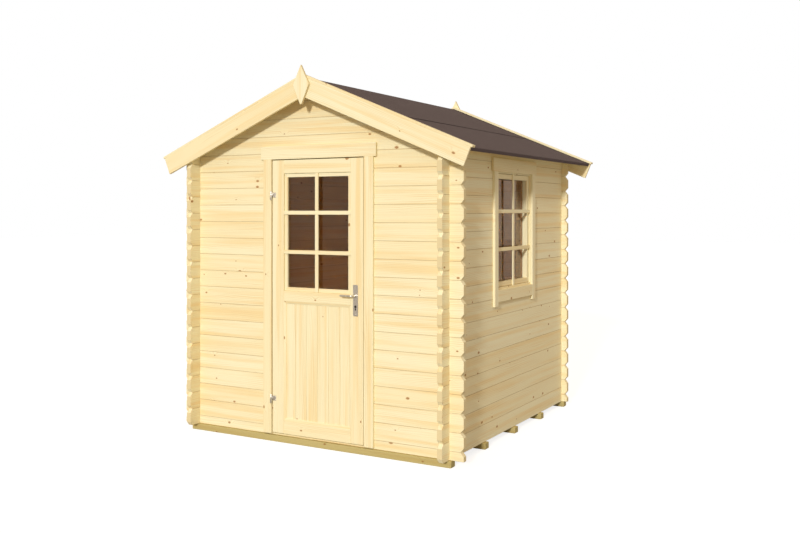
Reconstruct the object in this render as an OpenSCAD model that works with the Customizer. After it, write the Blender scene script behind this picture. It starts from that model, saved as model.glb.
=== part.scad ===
// Garden house of interlocked pine logs: one room, one glazed door, one window, felted gable roof.
// Millimetres, +Z up. The origin is on the ground under the middle of the plan.
// The door looks along -Y and the window along +X.

/* [Walls] */
// Width of the plan over the side walls' outer faces
plan_w = 2000; // [1800:10:3000]
// Depth of the plan over the front and back walls' outer faces
plan_d = 2000; // [1600:10:4000]
// Face height of one wall log
log_h = 114; // [110:1:118]
// Thickness of the wall logs
log_t = 34; // [28:1:45]
// Number of whole logs in a side wall
side_courses = 17; // [17:1:19]
// How far the front wall's logs run past the side walls
front_log_end = 95; // [60:1:120]
// How far the side walls' logs run past the front wall
side_log_end = 98; // [60:1:120]
// How far the logs run past the walls at the back
back_log_end = 45; // [30:1:95]
// Width of the V joint's bevel on a log's edges
joint_bevel = 2.5; // [1:0.5:4]
// Depth of the notch between two log ends
end_notch = 21; // [10:1:28]
// Side play of a corner notch on the log that crosses it
notch_play = 0.5; // [0.2:0.1:1]

/* [Foundation] */
// Number of bearers under the house
beam_count = 5; // [3:1:7]
// Width of a bearer
beam_w = 58; // [45:1:90]
// Height of a bearer
beam_h = 42; // [30:1:70]
// How far a bearer runs past the side walls
beam_over = 20; // [0:1:40]
// How far the end bearers stand out past the front and back walls
beam_proud = 21; // [0:1:40]
// Thickness of the floor boards
floor_t = 18; // [16:1:26]
// Gap between the floor boards and the door jambs
floor_play = 1; // [0.5:0.5:4]

/* [Roof] */
// Slope of the roof in degrees
roof_pitch = 22.6; // [20:0.1:25]
// Level distance from a side wall's face to the eave
eave_over = 172.5; // [120:0.5:400]
// Room left between the layers of the roof
roof_seat = 0.05; // [0.02:0.01:0.2]
// Thickness of the roof boards
roof_board_t = 18; // [16:1:22]
// Thickness of the roofing felt
felt_t = 3; // [2:0.5:5]
// Distance from the ridge to the lower edge of the ridge felt
felt_seam = 719; // [500:1:900]
// Overlap of the ridge felt on the eaves felt
felt_lap = 80; // [50:1:120]
// Depth of a barge board
barge_h = 121; // [100:1:150]
// Thickness of a barge board
barge_t = 18; // [16:1:24]
// How far a barge board runs past the roof boards' eave
barge_over = 13; // [5:1:40]
// Thickness of the verge cap on a barge board
cap_t = 14; // [10:1:20]
// Width of the verge cap
cap_w = 40; // [30:1:70]
// How far a verge cap runs past the end of its barge board
cap_over = 10; // [0:1:20]
// Height of a finial
finial_h = 253; // [200:1:300]
// Width of a finial
finial_w = 126; // [90:1:150]
// Width of a finial's blunt foot
finial_foot = 12; // [6:1:30]
// Thickness of a finial
finial_t = 18; // [12:1:22]
// How far a finial stands above the verge caps
finial_up = 55; // [20:1:90]
// Width of the ridge purlin
purlin_w = 44; // [36:1:60]
// Height of the ridge purlin
purlin_h = 95; // [70:1:110]

/* [Door] */
// Distance of the door's middle to the right of the house's middle
door_x = 40; // [-100:5:100]
// Width of the door leaf
leaf_w = 716; // [650:1:850]
// Height of the door leaf
leaf_h = 1820; // [1740:1:1825]
// Thickness of the door leaf
leaf_t = 40; // [36:1:45]
// How far the leaf stands in front of the wall
leaf_proud = 14; // [8:1:16]
// Running gap round the door leaf
door_gap = 6; // [5:0.5:8]
// Width of the leaf's stiles
stile_w = 94; // [80:1:110]
// Height of the leaf's top and bottom rails
rail_h = 90; // [70:1:120]
// Height of the leaf's middle rail
mid_rail_h = 70; // [60:1:100]
// Distance from the foot of the leaf to the middle rail
mid_rail_z = 881; // [800:1:950]
// Thickness of the leaf's lower panel
panel_t = 14; // [10:1:20]
// How far the lower panel lies behind the rails' face
panel_back = 10; // [6:1:14]
// Width of the glazing frame in the door
rim_w = 25; // [18:1:32]
// How far the glazing frame lies behind the rails' face
rim_back = 10; // [6:1:12]
// Thickness of the glass
glass_t = 4; // [3:1:6]
// Depth of the bead behind the glass
bead_t = 8; // [6:1:10]
// Thickness of the jambs of the door frame
jamb_t = 30; // [24:1:40]
// Depth of the jambs of the door frame
jamb_d = 52; // [46:1:70]
// How far the door stop reaches behind the leaf
stop_w = 12; // [8:1:20]
// Gap between the closed leaf and the stop
stop_gap = 5; // [5:0.5:6]
// Thickness of the threshold
threshold_t = 10; // [8:1:14]

/* [Casings] */
// Width of the door casings
casing_w = 68; // [60:1:90]
// Thickness of the casings
casing_t = 18; // [16:1:22]
// Height of the board over the door
door_head_h = 88; // [70:1:100]
// How far the board over the door runs past the casings
door_head_ear = 22; // [0:1:40]
// Gap between the front bearer and the door casings
casing_lift = 8; // [2:1:20]
// Width of the window casings
win_casing_w = 57; // [45:1:70]
// Height of the board over the window
win_head_h = 92; // [70:1:110]
// How far the board over the window runs past the casings
win_head_ear = 22; // [0:1:40]
// Height of the board under the window
win_apron_h = 79; // [60:1:100]
// How far the window casings hang below that board
win_casing_drop = 30; // [0:1:50]

/* [Window] */
// Distance of the window's middle behind the house's middle
window_y = 0; // [-200:5:200]
// Width of the window sash
sash_w = 600; // [450:1:700]
// Height of the window sash
sash_h = 768; // [600:1:780]
// Distance from the bottom of the walls to the foot of the sash
sash_z = 983; // [960:1:1010]
// Width of the sash's stiles and rails
sash_rail = 36; // [30:1:50]
// Depth of the sash
sash_d = 36; // [30:1:45]
// How far the sash lies behind the wall's face
sash_back = 10; // [4:1:14]
// Thickness of the window frame
win_frame_t = 24; // [18:1:34]
// Depth of the window frame
win_frame_d = 60; // [50:1:70]
// How far the casings leave the window frame showing
win_reveal = 5; // [0:1:10]
// How far the head board sits above the side casings' inner line
win_head_lift = 4; // [0:1:10]
// How far the apron sits below the side casings' inner line
win_sill_gap = 9; // [0:1:15]

/* [Ironwork] */
// Diameter of the hinge knuckles
knuckle_d = 12; // [10:1:16]
// Diameter of the hinge pins
hinge_pin_d = 7; // [5:0.5:8]
// Radial play of the hinge pins
hinge_play = 0.1; // [0.05:0.01:0.15]
// Length of one hinge over both knuckles
hinge_h = 60; // [50:1:90]
// Width of a hinge plate on the leaf
hinge_plate_w = 32; // [24:1:45]
// Height of a hinge plate on the leaf
hinge_plate_h = 33; // [26:1:45]
// Thickness of the hinge plates
hinge_plate_t = 2.5; // [2:0.5:3]
// Height of the upper hinge over the foot of the leaf
hinge_top = 1584; // [1400:1:1650]
// Height of the lower hinge over the foot of the leaf
hinge_low = 226; // [150:1:350]
// Width of the lock plates
lock_plate_w = 37; // [30:1:50]
// Height of the lock plates
lock_plate_h = 200; // [160:1:240]
// Thickness of the lock plates
lock_plate_t = 3; // [2:0.5:4]
// Distance from the leaf's edge to the middle of the lock plates
lock_x = 56; // [40:1:65]
// Height of the lever's pivot over the foot of the leaf
lever_z = 943; // [900:1:1000]
// Distance of the lever's pivot above the middle of its plate
lever_up = 30; // [20:1:60]
// Length of the lever from its pivot
lever_len = 95; // [80:1:125]
// Height of the lever
lever_h = 14; // [12:1:20]
// Depth of the lever
lever_d = 12; // [10:1:18]
// How far the lever stands off the leaf
lever_off = 46; // [40:1:60]
// Diameter of the lever's neck
neck_d = 16; // [14:1:20]
// Radial play of the neck in its plate
neck_play = 0.3; // [0.2:0.1:0.5]
// Diameter of the spindle
spindle_d = 9; // [8:0.5:10]
// Diameter of the spindle's hole through the stile
spindle_bore = 12; // [11:0.5:16]
// Height of the lock's edge plate
forend_h = 120; // [100:1:240]
// Width of the lock's edge plate
forend_w = 20; // [16:1:24]
// Thickness of the lock's edge plate
forend_t = 3; // [2:0.5:4]

/* [Hidden] */
$fn = 48;

// Overshoot of a cutting solid past the face it cuts
cut = 5;
pine = "burlywood";
bearer_green = "darkkhaki";
felt_brown = [0.35, 0.30, 0.31];
steel = "silver";
glass_blue = [0.75, 0.85, 0.85, 0.4];

// Walls
half_w = plan_w / 2;
half_d = plan_d / 2;
inner_w = half_w - log_t;
inner_d = half_d - log_t;
wall_z = beam_h;
quarter = log_h / 4;
notch_low = 24;
notch_high = 26;
eave_z = wall_z + side_courses * log_h;

// Roof planes: v is the height square to the slope over the boards' underside
ridge_z = eave_z + inner_w * tan(roof_pitch);
roof_len = (half_w + eave_over) / cos(roof_pitch);
seat_drop = roof_seat / cos(roof_pitch);
felt_v = roof_board_t + roof_seat;
lap_v = felt_v + felt_t + roof_seat;
barge_top_v = lap_v + felt_t;
cap_v = barge_top_v + roof_seat;
roof_half_d = half_d + side_log_end;
barge_len = roof_len + barge_over;
cap_len = barge_len + cap_over;
barge_face = roof_half_d + barge_t;
last_gable = ceil((ridge_z - wall_z) / log_h - 0.75);

// Door
leaf_z = wall_z + threshold_t + door_gap;
leaf_top = leaf_z + leaf_h;
leaf_l = door_x - leaf_w / 2;
leaf_r = door_x + leaf_w / 2;
leaf_front = -half_d - leaf_proud;
leaf_back = leaf_front + leaf_t;
frame_l = leaf_l - door_gap - jamb_t;
frame_r = leaf_r + door_gap + jamb_t;
min_head_t = 20;
door_course = ceil((leaf_top + door_gap + min_head_t - wall_z) / log_h - 0.5);
door_open_z = wall_z + log_h * (door_course + 0.5);
casing_foot = wall_z + casing_lift;
casing_top = leaf_top + door_gap;
glass_l = leaf_l + stile_w;
glass_r = leaf_r - stile_w;
mid_rail_foot = leaf_z + mid_rail_z;
pane_foot = mid_rail_foot + mid_rail_h;
pane_top = leaf_top - rail_h;
door_glass_y = leaf_back - bead_t - glass_t;

// Window
frame_z = wall_z + sash_z - win_frame_t;
win_open_half = sash_w / 2 + win_frame_t;
win_open_top = wall_z + sash_z + sash_h + win_frame_t;
win_casing_in = sash_w / 2 + win_reveal;
win_casing_out = win_casing_in + win_casing_w;
win_head_foot = wall_z + sash_z + sash_h + win_reveal + win_head_lift;
apron_top = wall_z + sash_z - win_reveal - win_sill_gap;
apron_foot = apron_top - win_apron_h;
sash_face = half_w - sash_back;
window_glass_x = sash_face - sash_d;

// Ironwork
knuckle_r = knuckle_d / 2;
knuckle_clear = 0.5;
hinge_axis_x = leaf_l - door_gap / 2;
hinge_axis_y = -half_d - casing_t - knuckle_clear - knuckle_r;
knuckle_gap = 0.3;
hinge_leaf_up = 4;
frame_plate_w = 13;
hinge_heights = [leaf_z + hinge_low, leaf_z + hinge_top];
lever_x = leaf_r - lock_x;
lever_height = leaf_z + lever_z;
lock_plate_z = lever_height - lever_up;
neck_r = neck_d / 2;

function roof_z(x) = ridge_z - abs(x) * tan(roof_pitch);
// A point of the right slope: u runs down from the ridge, v stands square to the slope
function slope_point(u, v) = [
  u * cos(roof_pitch) + v * sin(roof_pitch),
  ridge_z - u * sin(roof_pitch) + v * cos(roof_pitch)
];
function ridge_point(v) = [0, ridge_z + v / cos(roof_pitch)];
function slab_outline(v0, v1, u1) = [
  ridge_point(v0), ridge_point(v1), slope_point(u1, v1), slope_point(u1, v0)
];
// Course k of a front or back wall, counted from the half log at the bottom
function gable_foot(k) = k == 0 ? wall_z : wall_z + log_h * (k - 0.5);
function gable_head(k) = k == last_gable ? ridge_z + cut : wall_z + log_h * (k + 0.5);
function side_foot(j) = wall_z + log_h * j;

// Outline of a log's face, with a bevelled end where the log runs past a corner
function log_end(l, dir, z0, z1, notched, foot) = !notched
  ? [[l, z0], [l, z1]]
  : foot
    ? [[l, z0], [l, z1 - notch_high], [l - dir * end_notch, z1]]
    : [[l - dir * end_notch, z0], [l, z0 + notch_low], [l, z1 - notch_high], [l - dir * end_notch, z1]];
function reversed(list) = [for (i = [len(list) - 1 : -1 : 0]) list[i]];
function log_outline(l0, l1, z0, z1, notch0, notch1, foot) = concat(
  log_end(l1, 1, z0, z1, notch1, foot),
  reversed(log_end(l0, -1, z0, z1, notch0, foot))
);
// Section of a log: a plank whose long edges carry the V joint's bevels
function log_section(z0, z1) = [
  [joint_bevel, z0], [log_t - joint_bevel, z0], [log_t, z0 + joint_bevel], [log_t, z1 - joint_bevel],
  [log_t - joint_bevel, z1], [joint_bevel, z1], [0, z1 - joint_bevel], [0, z0 + joint_bevel]
];

// A box from one corner to the opposite one
module span(a, b) {
  translate(a) cube(b - a);
}

// An outline in the X-Z plane, carried from y0 to y1
module along_y(outline, y0, y1) {
  translate([0, y1, 0]) rotate([90, 0, 0]) linear_extrude(y1 - y0) polygon(outline);
}

// A log along X with its thickness from y = 0 to log_t
module log_blank(l0, l1, z0, z1, notch0, notch1, foot) {
  intersection() {
    along_y(log_outline(l0, l1, z0, z1, notch0, notch1, foot), 0, log_t);
    translate([l0 - cut, 0, 0]) rotate([90, 0, 90]) linear_extrude(l1 - l0 + 2 * cut)
      polygon(log_section(z0, z1));
  }
}

// Everything the roof boards bear on, for cutting the logs to the slope
module under_roof(y0, y1) {
  far = half_w + front_log_end + 10 * cut;
  edge = roof_z(far) - seat_drop;
  along_y([
    [-far, wall_z - cut], [far, wall_z - cut], [far, edge], [0, ridge_z - seat_drop], [-far, edge]
  ], y0, y1);
}

// The quarter-deep notch of a crossing, from l0 to l1 along the log
module corner_notch(l0, l1, z0, z1) {
  span([l0 - notch_play, -cut, z0], [l1 + notch_play, log_t + cut, z1]);
}

// One log of a front or back wall, cut to the corners' notches
module gable_log(k, l0, l1, notch0, notch1) {
  z0 = gable_foot(k);
  z1 = gable_head(k);
  difference() {
    log_blank(l0, l1, z0, z1, notch0, notch1, k == 0);
    for (side = [-1, 1]) {
      a = side > 0 ? inner_w : -half_w;
      if (a > l0 && a < l1 && z0 < eave_z) {
        if (k > 0) corner_notch(a, a + log_t, z0 - cut, z0 + quarter);
        if (z1 < eave_z) corner_notch(a, a + log_t, z1 - quarter, z1 + cut);
      }
    }
  }
}

// One whole course of a front or back wall, as pieces [from, to, notched ends]
module gable_course(k, pieces) {
  reach = (ridge_z - gable_foot(k)) / tan(roof_pitch);
  for (p = pieces)
    if (gable_head(k) > roof_z(half_w + front_log_end)) {
      intersection() {
        gable_log(
          k, max(p[0], -reach - cut), min(p[1], reach + cut),
          p[2] && p[0] > -reach, p[3] && p[1] < reach
        );
        under_roof(-cut, log_t + cut);
      }
    } else {
      gable_log(k, p[0], p[1], p[2], p[3]);
    }
}

// Courses of one parity of the front or back wall
module gable_wall(parity, end, with_door) {
  out = half_w + end;
  difference() {
    for (k = [parity : 2 : last_gable])
      gable_course(k, with_door && k <= door_course
        ? [[-out, frame_l, true, false], [frame_r, out, false, true]]
        : [[-out, out, true, true]]);
    span([-purlin_w / 2, -cut, ridge_z - purlin_h], [purlin_w / 2, log_t + cut, ridge_z + 2 * cut]);
  }
}

// One log of a side wall between y0 and y1, at the wall whose outer face is x_out
module side_log(j, x_out, y0, y1, notch0, notch1) {
  z0 = side_foot(j);
  z1 = z0 + log_h;
  translate([x_out, 0, 0]) rotate([0, 0, 90]) difference() {
    log_blank(y0, y1, z0, z1, notch0, notch1, false);
    for (a = [-half_d, inner_d])
      if (a >= y0 && a < y1) {
        corner_notch(a, a + log_t, z0 - cut, z0 + quarter);
        corner_notch(a, a + log_t, z1 - quarter, z1 + cut);
      }
  }
}

// Courses of one parity of a side wall
module side_wall(parity, x_out, with_window) {
  y0 = -half_d - side_log_end;
  y1 = half_d + back_log_end;
  win_a = window_y - win_open_half;
  win_b = window_y + win_open_half;
  for (j = [parity : 2 : side_courses - 1]) {
    z0 = side_foot(j);
    clear = z0 >= frame_z && z0 + log_h <= win_open_top;
    if (with_window && clear) {
      side_log(j, x_out, y0, win_a, true, false);
      side_log(j, x_out, win_b, y1, false, true);
    } else if (j == side_courses - 1) {
      intersection() {
        side_log(j, x_out, y0, y1, true, true);
        under_roof(y0 - cut, y1 + cut);
      }
    } else {
      difference() {
        side_log(j, x_out, y0, y1, true, true);
        if (with_window)
          span([x_out - log_t - cut, win_a, frame_z], [x_out + cut, win_b, win_open_top]);
      }
    }
  }
}

// A frame of four members round an opening in the X-Z plane
module ring_xz(x0, x1, z0, z1, member, y0, y1) {
  difference() {
    span([x0, y0, z0], [x1, y1, z1]);
    span([x0 + member, y0 - cut, z0 + member], [x1 - member, y1 + cut, z1 - member]);
  }
}

// A frame of four members round an opening in the Y-Z plane
module ring_yz(y0, y1, z0, z1, member, x0, x1) {
  difference() {
    span([x0, y0, z0], [x1, y1, z1]);
    span([x0 - cut, y0 + member, z0 + member], [x1 + cut, y1 - member, z1 - member]);
  }
}

// A cylinder along Y
module rod_y(x, z, r, y0, y1) {
  translate([x, y1, z]) rotate([90, 0, 0]) cylinder(r = r, h = y1 - y0);
}

module foundation_beams() {
  reach = half_w + beam_over;
  pitch = (plan_d + 2 * beam_proud - beam_w) / (beam_count - 1);
  color(bearer_green)
    for (i = [0 : beam_count - 1]) {
      y = (i - (beam_count - 1) / 2) * pitch;
      span([-reach, y - beam_w / 2, 0], [reach, y + beam_w / 2, beam_h]);
    }
}

module floor_boards() {
  top = wall_z + floor_t;
  color(pine) difference() {
    span([-inner_w, -inner_d, wall_z], [inner_w, inner_d, top]);
    for (x = [frame_l, frame_r - jamb_t])
      span(
        [x - floor_play, -inner_d - cut, wall_z - cut],
        [x + jamb_t + floor_play, -half_d + jamb_d + floor_play, top + cut]
      );
  }
}

module threshold() {
  color(pine)
    span([frame_l + jamb_t, -half_d, wall_z], [frame_r - jamb_t, -inner_d, wall_z + threshold_t]);
}

module front_logs(parity) {
  color(pine) translate([0, -half_d, 0]) gable_wall(parity, front_log_end, true);
}
module back_logs(parity) {
  color(pine) translate([0, inner_d, 0]) gable_wall(parity, back_log_end, false);
}
module front_logs_whole() { front_logs(0); }
module front_logs_between() { front_logs(1); }
module back_logs_whole() { back_logs(0); }
module back_logs_between() { back_logs(1); }
module left_logs_whole() { color(pine) side_wall(0, -inner_w, false); }
module left_logs_between() { color(pine) side_wall(1, -inner_w, false); }
module right_logs_whole() { color(pine) side_wall(0, half_w, true); }
module right_logs_between() { color(pine) side_wall(1, half_w, true); }

// The ridge purlin lies in notches of both gables, and its top is bevelled to the roof boards
module ridge_purlin() {
  w = purlin_w / 2;
  foot = ridge_z - purlin_h;
  edge = roof_z(w) - seat_drop;
  color(pine) along_y(
    [[-w, foot], [w, foot], [w, edge], [0, ridge_z - seat_drop], [-w, edge]],
    -roof_half_d, roof_half_d
  );
}

module roof_boards() {
  color(pine) along_y(slab_outline(0, roof_board_t, roof_len), -roof_half_d, roof_half_d);
}
module roof_boards_right() { roof_boards(); }
module roof_boards_left() { mirror([1, 0, 0]) roof_boards(); }

// The eaves felt runs up under the ridge felt and is turned down over the boards' ends
module felt_eave() {
  top = felt_v + felt_t;
  inner = roof_len + roof_seat;
  outer = inner + felt_t;
  color(felt_brown) along_y([
    slope_point(felt_seam - felt_lap, felt_v), slope_point(inner, felt_v), slope_point(inner, 0),
    slope_point(outer, 0), slope_point(outer, top), slope_point(felt_seam - felt_lap, top)
  ], -roof_half_d, roof_half_d);
}
module felt_eave_right() { felt_eave(); }
module felt_eave_left() { mirror([1, 0, 0]) felt_eave(); }

// The ridge felt lies on the boards and steps up over the eaves felt
module felt_ridge() {
  start = felt_seam - felt_lap - roof_seat;
  mid = felt_v + felt_t;
  top = lap_v + felt_t;
  half = [
    slope_point(start, felt_v), slope_point(start, lap_v), slope_point(felt_seam, lap_v),
    slope_point(felt_seam, top), slope_point(start - felt_t, top), slope_point(start - felt_t, mid)
  ];
  mirrored = [for (p = reversed(half)) [-p[0], p[1]]];
  color(felt_brown)
    along_y(concat([ridge_point(felt_v)], half, [ridge_point(mid)], mirrored), -roof_half_d, roof_half_d);
}

// Front and back barge boards of the right slope
module barge_boards() {
  color(pine)
    for (y = [-barge_face, roof_half_d])
      along_y(slab_outline(barge_top_v - barge_h, barge_top_v, barge_len), y, y + barge_t);
}
module barge_boards_right() { barge_boards(); }
module barge_boards_left() { mirror([1, 0, 0]) barge_boards(); }

module verge_caps() {
  color(pine)
    for (y = [-barge_face, barge_face - cap_w])
      along_y(slab_outline(cap_v, cap_v + cap_t, cap_len), y, y + cap_w);
}
module verge_caps_right() { verge_caps(); }
module verge_caps_left() { mirror([1, 0, 0]) verge_caps(); }

module finials() {
  tip = ridge_point(cap_v + cap_t)[1] + finial_up;
  foot = tip - finial_h;
  wide = tip - finial_w;
  color(pine)
    for (y = [-barge_face - finial_t, barge_face])
      along_y([
        [-finial_foot / 2, foot], [finial_foot / 2, foot], [finial_w / 2, wide], [0, tip],
        [-finial_w / 2, wide]
      ], y, y + finial_t);
}

module door_jambs() {
  top = leaf_top + door_gap;
  color(pine) {
    span([frame_l, -half_d, wall_z], [frame_l + jamb_t, -half_d + jamb_d, top]);
    span([frame_r - jamb_t, -half_d, wall_z], [frame_r, -half_d + jamb_d, top]);
  }
}

module door_frame_head() {
  color(pine)
    span([frame_l, -half_d, leaf_top + door_gap], [frame_r, -half_d + jamb_d, door_open_z]);
}

// Stop strips on the jambs and the head, behind the closed leaf
module door_stops() {
  y0 = leaf_back + stop_gap;
  y1 = -half_d + jamb_d;
  l = frame_l + jamb_t;
  r = frame_r - jamb_t;
  top = leaf_top + door_gap;
  reach = door_gap + stop_w;
  color(pine) difference() {
    span([l, y0, wall_z + floor_t], [r, y1, top]);
    span([l + reach, y0 - cut, wall_z], [r - reach, y1 + cut, top - reach]);
  }
}

module door_casings() {
  color(pine)
    for (a = [leaf_l - door_gap - casing_w, leaf_r + door_gap])
      span([a, -half_d - casing_t, casing_foot], [a + casing_w, -half_d, casing_top]);
}

module door_head_board() {
  reach = leaf_w / 2 + door_gap + casing_w + door_head_ear;
  color(pine) span(
    [door_x - reach, -half_d - casing_t, casing_top],
    [door_x + reach, -half_d, casing_top + door_head_h]
  );
}

module window_frame() {
  color(pine) ring_yz(
    window_y - win_open_half, window_y + win_open_half, frame_z, win_open_top,
    win_frame_t, half_w - win_frame_d, half_w
  );
}

// The sash and the bead that holds the glass behind it
module window_sash() {
  y0 = window_y - sash_w / 2;
  y1 = window_y + sash_w / 2;
  z0 = wall_z + sash_z;
  color(pine) {
    ring_yz(y0, y1, z0, z0 + sash_h, sash_rail, window_glass_x, sash_face);
    ring_yz(y0, y1, z0, z0 + sash_h, sash_rail, window_glass_x - glass_t - bead_t, window_glass_x - glass_t);
  }
}

module window_glass() {
  y0 = window_y - sash_w / 2;
  z0 = wall_z + sash_z;
  color(glass_blue)
    span([window_glass_x - glass_t, y0, z0], [window_glass_x, y0 + sash_w, z0 + sash_h]);
}

module window_casings() {
  color(pine)
    for (a = [window_y - win_casing_out, window_y + win_casing_in])
      span([half_w, a, apron_foot - win_casing_drop], [half_w + casing_t, a + win_casing_w, win_head_foot]);
}

module window_head_board() {
  reach = win_casing_out + win_head_ear;
  color(pine) span(
    [half_w, window_y - reach, win_head_foot],
    [half_w + casing_t, window_y + reach, win_head_foot + win_head_h]
  );
}

module window_apron() {
  color(pine) span(
    [half_w, window_y - win_casing_in, apron_foot],
    [half_w + casing_t, window_y + win_casing_in, apron_top]
  );
}

// The frame's halves of the hinges: lower knuckle, standing pin and plate on the casing
module hinge_pins() {
  half = hinge_h / 2;
  color(steel)
    for (z = hinge_heights) {
      translate([hinge_axis_x, hinge_axis_y, z - half]) cylinder(d = knuckle_d, h = half);
      translate([hinge_axis_x, hinge_axis_y, z - half]) cylinder(d = hinge_pin_d, h = hinge_h - 2);
      span(
        [hinge_axis_x - frame_plate_w, -half_d - casing_t - hinge_plate_t, z - half],
        [hinge_axis_x, -half_d - casing_t, z - knuckle_gap]
      );
    }
}

module door_stiles() {
  color(pine) {
    span([leaf_l, leaf_front, leaf_z], [glass_l, leaf_back, leaf_top]);
    difference() {
      span([glass_r, leaf_front, leaf_z], [leaf_r, leaf_back, leaf_top]);
      rod_y(lever_x, lever_height, spindle_bore / 2, leaf_front - cut, leaf_back + cut);
      forend_blank(cut);
    }
  }
}

module door_rails() {
  color(pine)
    for (z = [[leaf_z, rail_h], [mid_rail_foot, mid_rail_h], [pane_top, rail_h]])
      span([glass_l, leaf_front, z[0]], [glass_r, leaf_back, z[0] + z[1]]);
}

module door_panel() {
  y0 = leaf_front + panel_back;
  color(pine) span([glass_l, y0, leaf_z + rail_h], [glass_r, y0 + panel_t, mid_rail_foot]);
}

// The glazing frame in front of the pane and the bead behind it
module door_glazing() {
  color(pine) {
    ring_xz(glass_l, glass_r, pane_foot, pane_top, rim_w, leaf_front + rim_back, door_glass_y);
    ring_xz(glass_l, glass_r, pane_foot, pane_top, rim_w, door_glass_y + glass_t, leaf_back);
  }
}

module door_glass() {
  color(glass_blue)
    span([glass_l, door_glass_y, pane_foot], [glass_r, door_glass_y + glass_t, pane_top]);
}

// The leaf's halves of the hinges: upper knuckle, its neck and the plate on the leaf
module door_hinge_plates() {
  half = hinge_h / 2;
  color(steel)
    for (z = hinge_heights)
      difference() {
        union() {
          translate([hinge_axis_x, hinge_axis_y, z + knuckle_gap])
            cylinder(d = knuckle_d, h = half - knuckle_gap);
          span(
            [hinge_axis_x, hinge_axis_y, z + knuckle_gap],
            [leaf_l + knuckle_r, leaf_front, z + hinge_leaf_up + hinge_plate_h / 2]
          );
          span(
            [leaf_l, leaf_front - hinge_plate_t, z + hinge_leaf_up - hinge_plate_h / 2],
            [leaf_l + hinge_plate_w, leaf_front, z + hinge_leaf_up + hinge_plate_h / 2]
          );
        }
        translate([hinge_axis_x, hinge_axis_y, z - half])
          cylinder(r = hinge_pin_d / 2 + hinge_play, h = hinge_h + cut);
      }
}

module lock_plate(y0) {
  difference() {
    span(
      [lever_x - lock_plate_w / 2, y0, lock_plate_z - lock_plate_h / 2],
      [lever_x + lock_plate_w / 2, y0 + lock_plate_t, lock_plate_z + lock_plate_h / 2]
    );
    rod_y(lever_x, lever_height, neck_r + neck_play, y0 - cut, y0 + lock_plate_t + cut);
  }
}

module door_lock_plates() {
  color(steel) {
    lock_plate(leaf_front - lock_plate_t);
    lock_plate(leaf_back);
  }
}

// The lock's edge plate, or its bed in the stile when it is grown past the edge
module forend_blank(grow) {
  y = (leaf_front + leaf_back) / 2;
  z = lock_plate_z;
  span(
    [leaf_r - forend_t, y - forend_w / 2, z - forend_h / 2],
    [leaf_r + grow, y + forend_w / 2, z + forend_h / 2]
  );
}

module door_forend() {
  color(steel) forend_blank(0);
}

// One lever with its round end, from its outer face inwards
module lever_bar(y0) {
  rod_y(lever_x, lever_height, neck_r, y0, y0 + lever_d);
  rod_y(lever_x - lever_len + lever_h / 2, lever_height, lever_h / 2, y0, y0 + lever_d);
  span(
    [lever_x - lever_len + lever_h / 2, y0, lever_height - lever_h / 2],
    [lever_x, y0 + lever_d, lever_height + lever_h / 2]
  );
}

module door_lever() {
  face_gap = 0.5;
  color(steel) {
    rod_y(lever_x, lever_height, spindle_d / 2, leaf_front - lever_off, leaf_back + lever_off);
    rod_y(lever_x, lever_height, neck_r, leaf_front - lever_off, leaf_front - face_gap);
    rod_y(lever_x, lever_height, neck_r, leaf_back + face_gap, leaf_back + lever_off);
    lever_bar(leaf_front - lever_off);
    lever_bar(leaf_back + lever_off - lever_d);
  }
}

foundation_beams();
floor_boards();
threshold();
front_logs_whole();
front_logs_between();
back_logs_whole();
back_logs_between();
left_logs_whole();
left_logs_between();
right_logs_whole();
right_logs_between();
ridge_purlin();
roof_boards_left();
roof_boards_right();
felt_eave_left();
felt_eave_right();
felt_ridge();
barge_boards_left();
barge_boards_right();
verge_caps_left();
verge_caps_right();
finials();
door_jambs();
door_frame_head();
door_stops();
door_casings();
door_head_board();
window_frame();
window_sash();
window_glass();
window_casings();
window_head_board();
window_apron();
hinge_pins();
door_stiles();
door_rails();
door_panel();
door_glazing();
door_glass();
door_hinge_plates();
door_lock_plates();
door_forend();
door_lever();
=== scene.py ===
"""Looks of a small log garden house: pine logs, trim, felted roof, glazing and ironwork.

Every mesh is worked out with numpy as a profile carried along a path, in metres, in the frame
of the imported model. The file is laid out as an add-on and is run as a script.
"""

import math

import bpy
import numpy as np
from bpy.props import FloatProperty, FloatVectorProperty, IntProperty, PointerProperty
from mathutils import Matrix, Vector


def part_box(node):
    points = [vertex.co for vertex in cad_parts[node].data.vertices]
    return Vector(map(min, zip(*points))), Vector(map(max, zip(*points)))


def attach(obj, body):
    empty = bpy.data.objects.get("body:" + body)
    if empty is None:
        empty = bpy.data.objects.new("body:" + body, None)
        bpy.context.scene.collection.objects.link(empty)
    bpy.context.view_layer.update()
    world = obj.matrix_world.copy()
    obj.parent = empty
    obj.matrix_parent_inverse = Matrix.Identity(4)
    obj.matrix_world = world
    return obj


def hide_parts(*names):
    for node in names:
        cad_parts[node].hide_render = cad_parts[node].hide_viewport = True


bl_info = {
    "name": "Garden House Finish",
    "version": (1, 0, 0),
    "blender": (4, 5, 0),
    "location": "View3D > Sidebar > Garden House",
    "description": "Builds the finished surfaces of a log garden house around its packed frame",
    "category": "Object",
}

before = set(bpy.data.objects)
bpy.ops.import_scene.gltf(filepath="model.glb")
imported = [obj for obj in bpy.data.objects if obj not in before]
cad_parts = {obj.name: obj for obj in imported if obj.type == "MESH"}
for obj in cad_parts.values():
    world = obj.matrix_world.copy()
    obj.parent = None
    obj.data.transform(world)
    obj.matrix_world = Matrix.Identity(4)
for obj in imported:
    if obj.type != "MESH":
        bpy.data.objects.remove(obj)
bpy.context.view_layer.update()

X, Y, Z = np.eye(3)
ARC_STEPS = 3
WHOLE_TURN = 2 * math.pi


def box(node):
    """Lowest and highest corners of a CAD node, as two arrays."""
    low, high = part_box(node)
    return np.array(low), np.array(high)


# ---------------------------------------------------------------- places, from the frame

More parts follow.
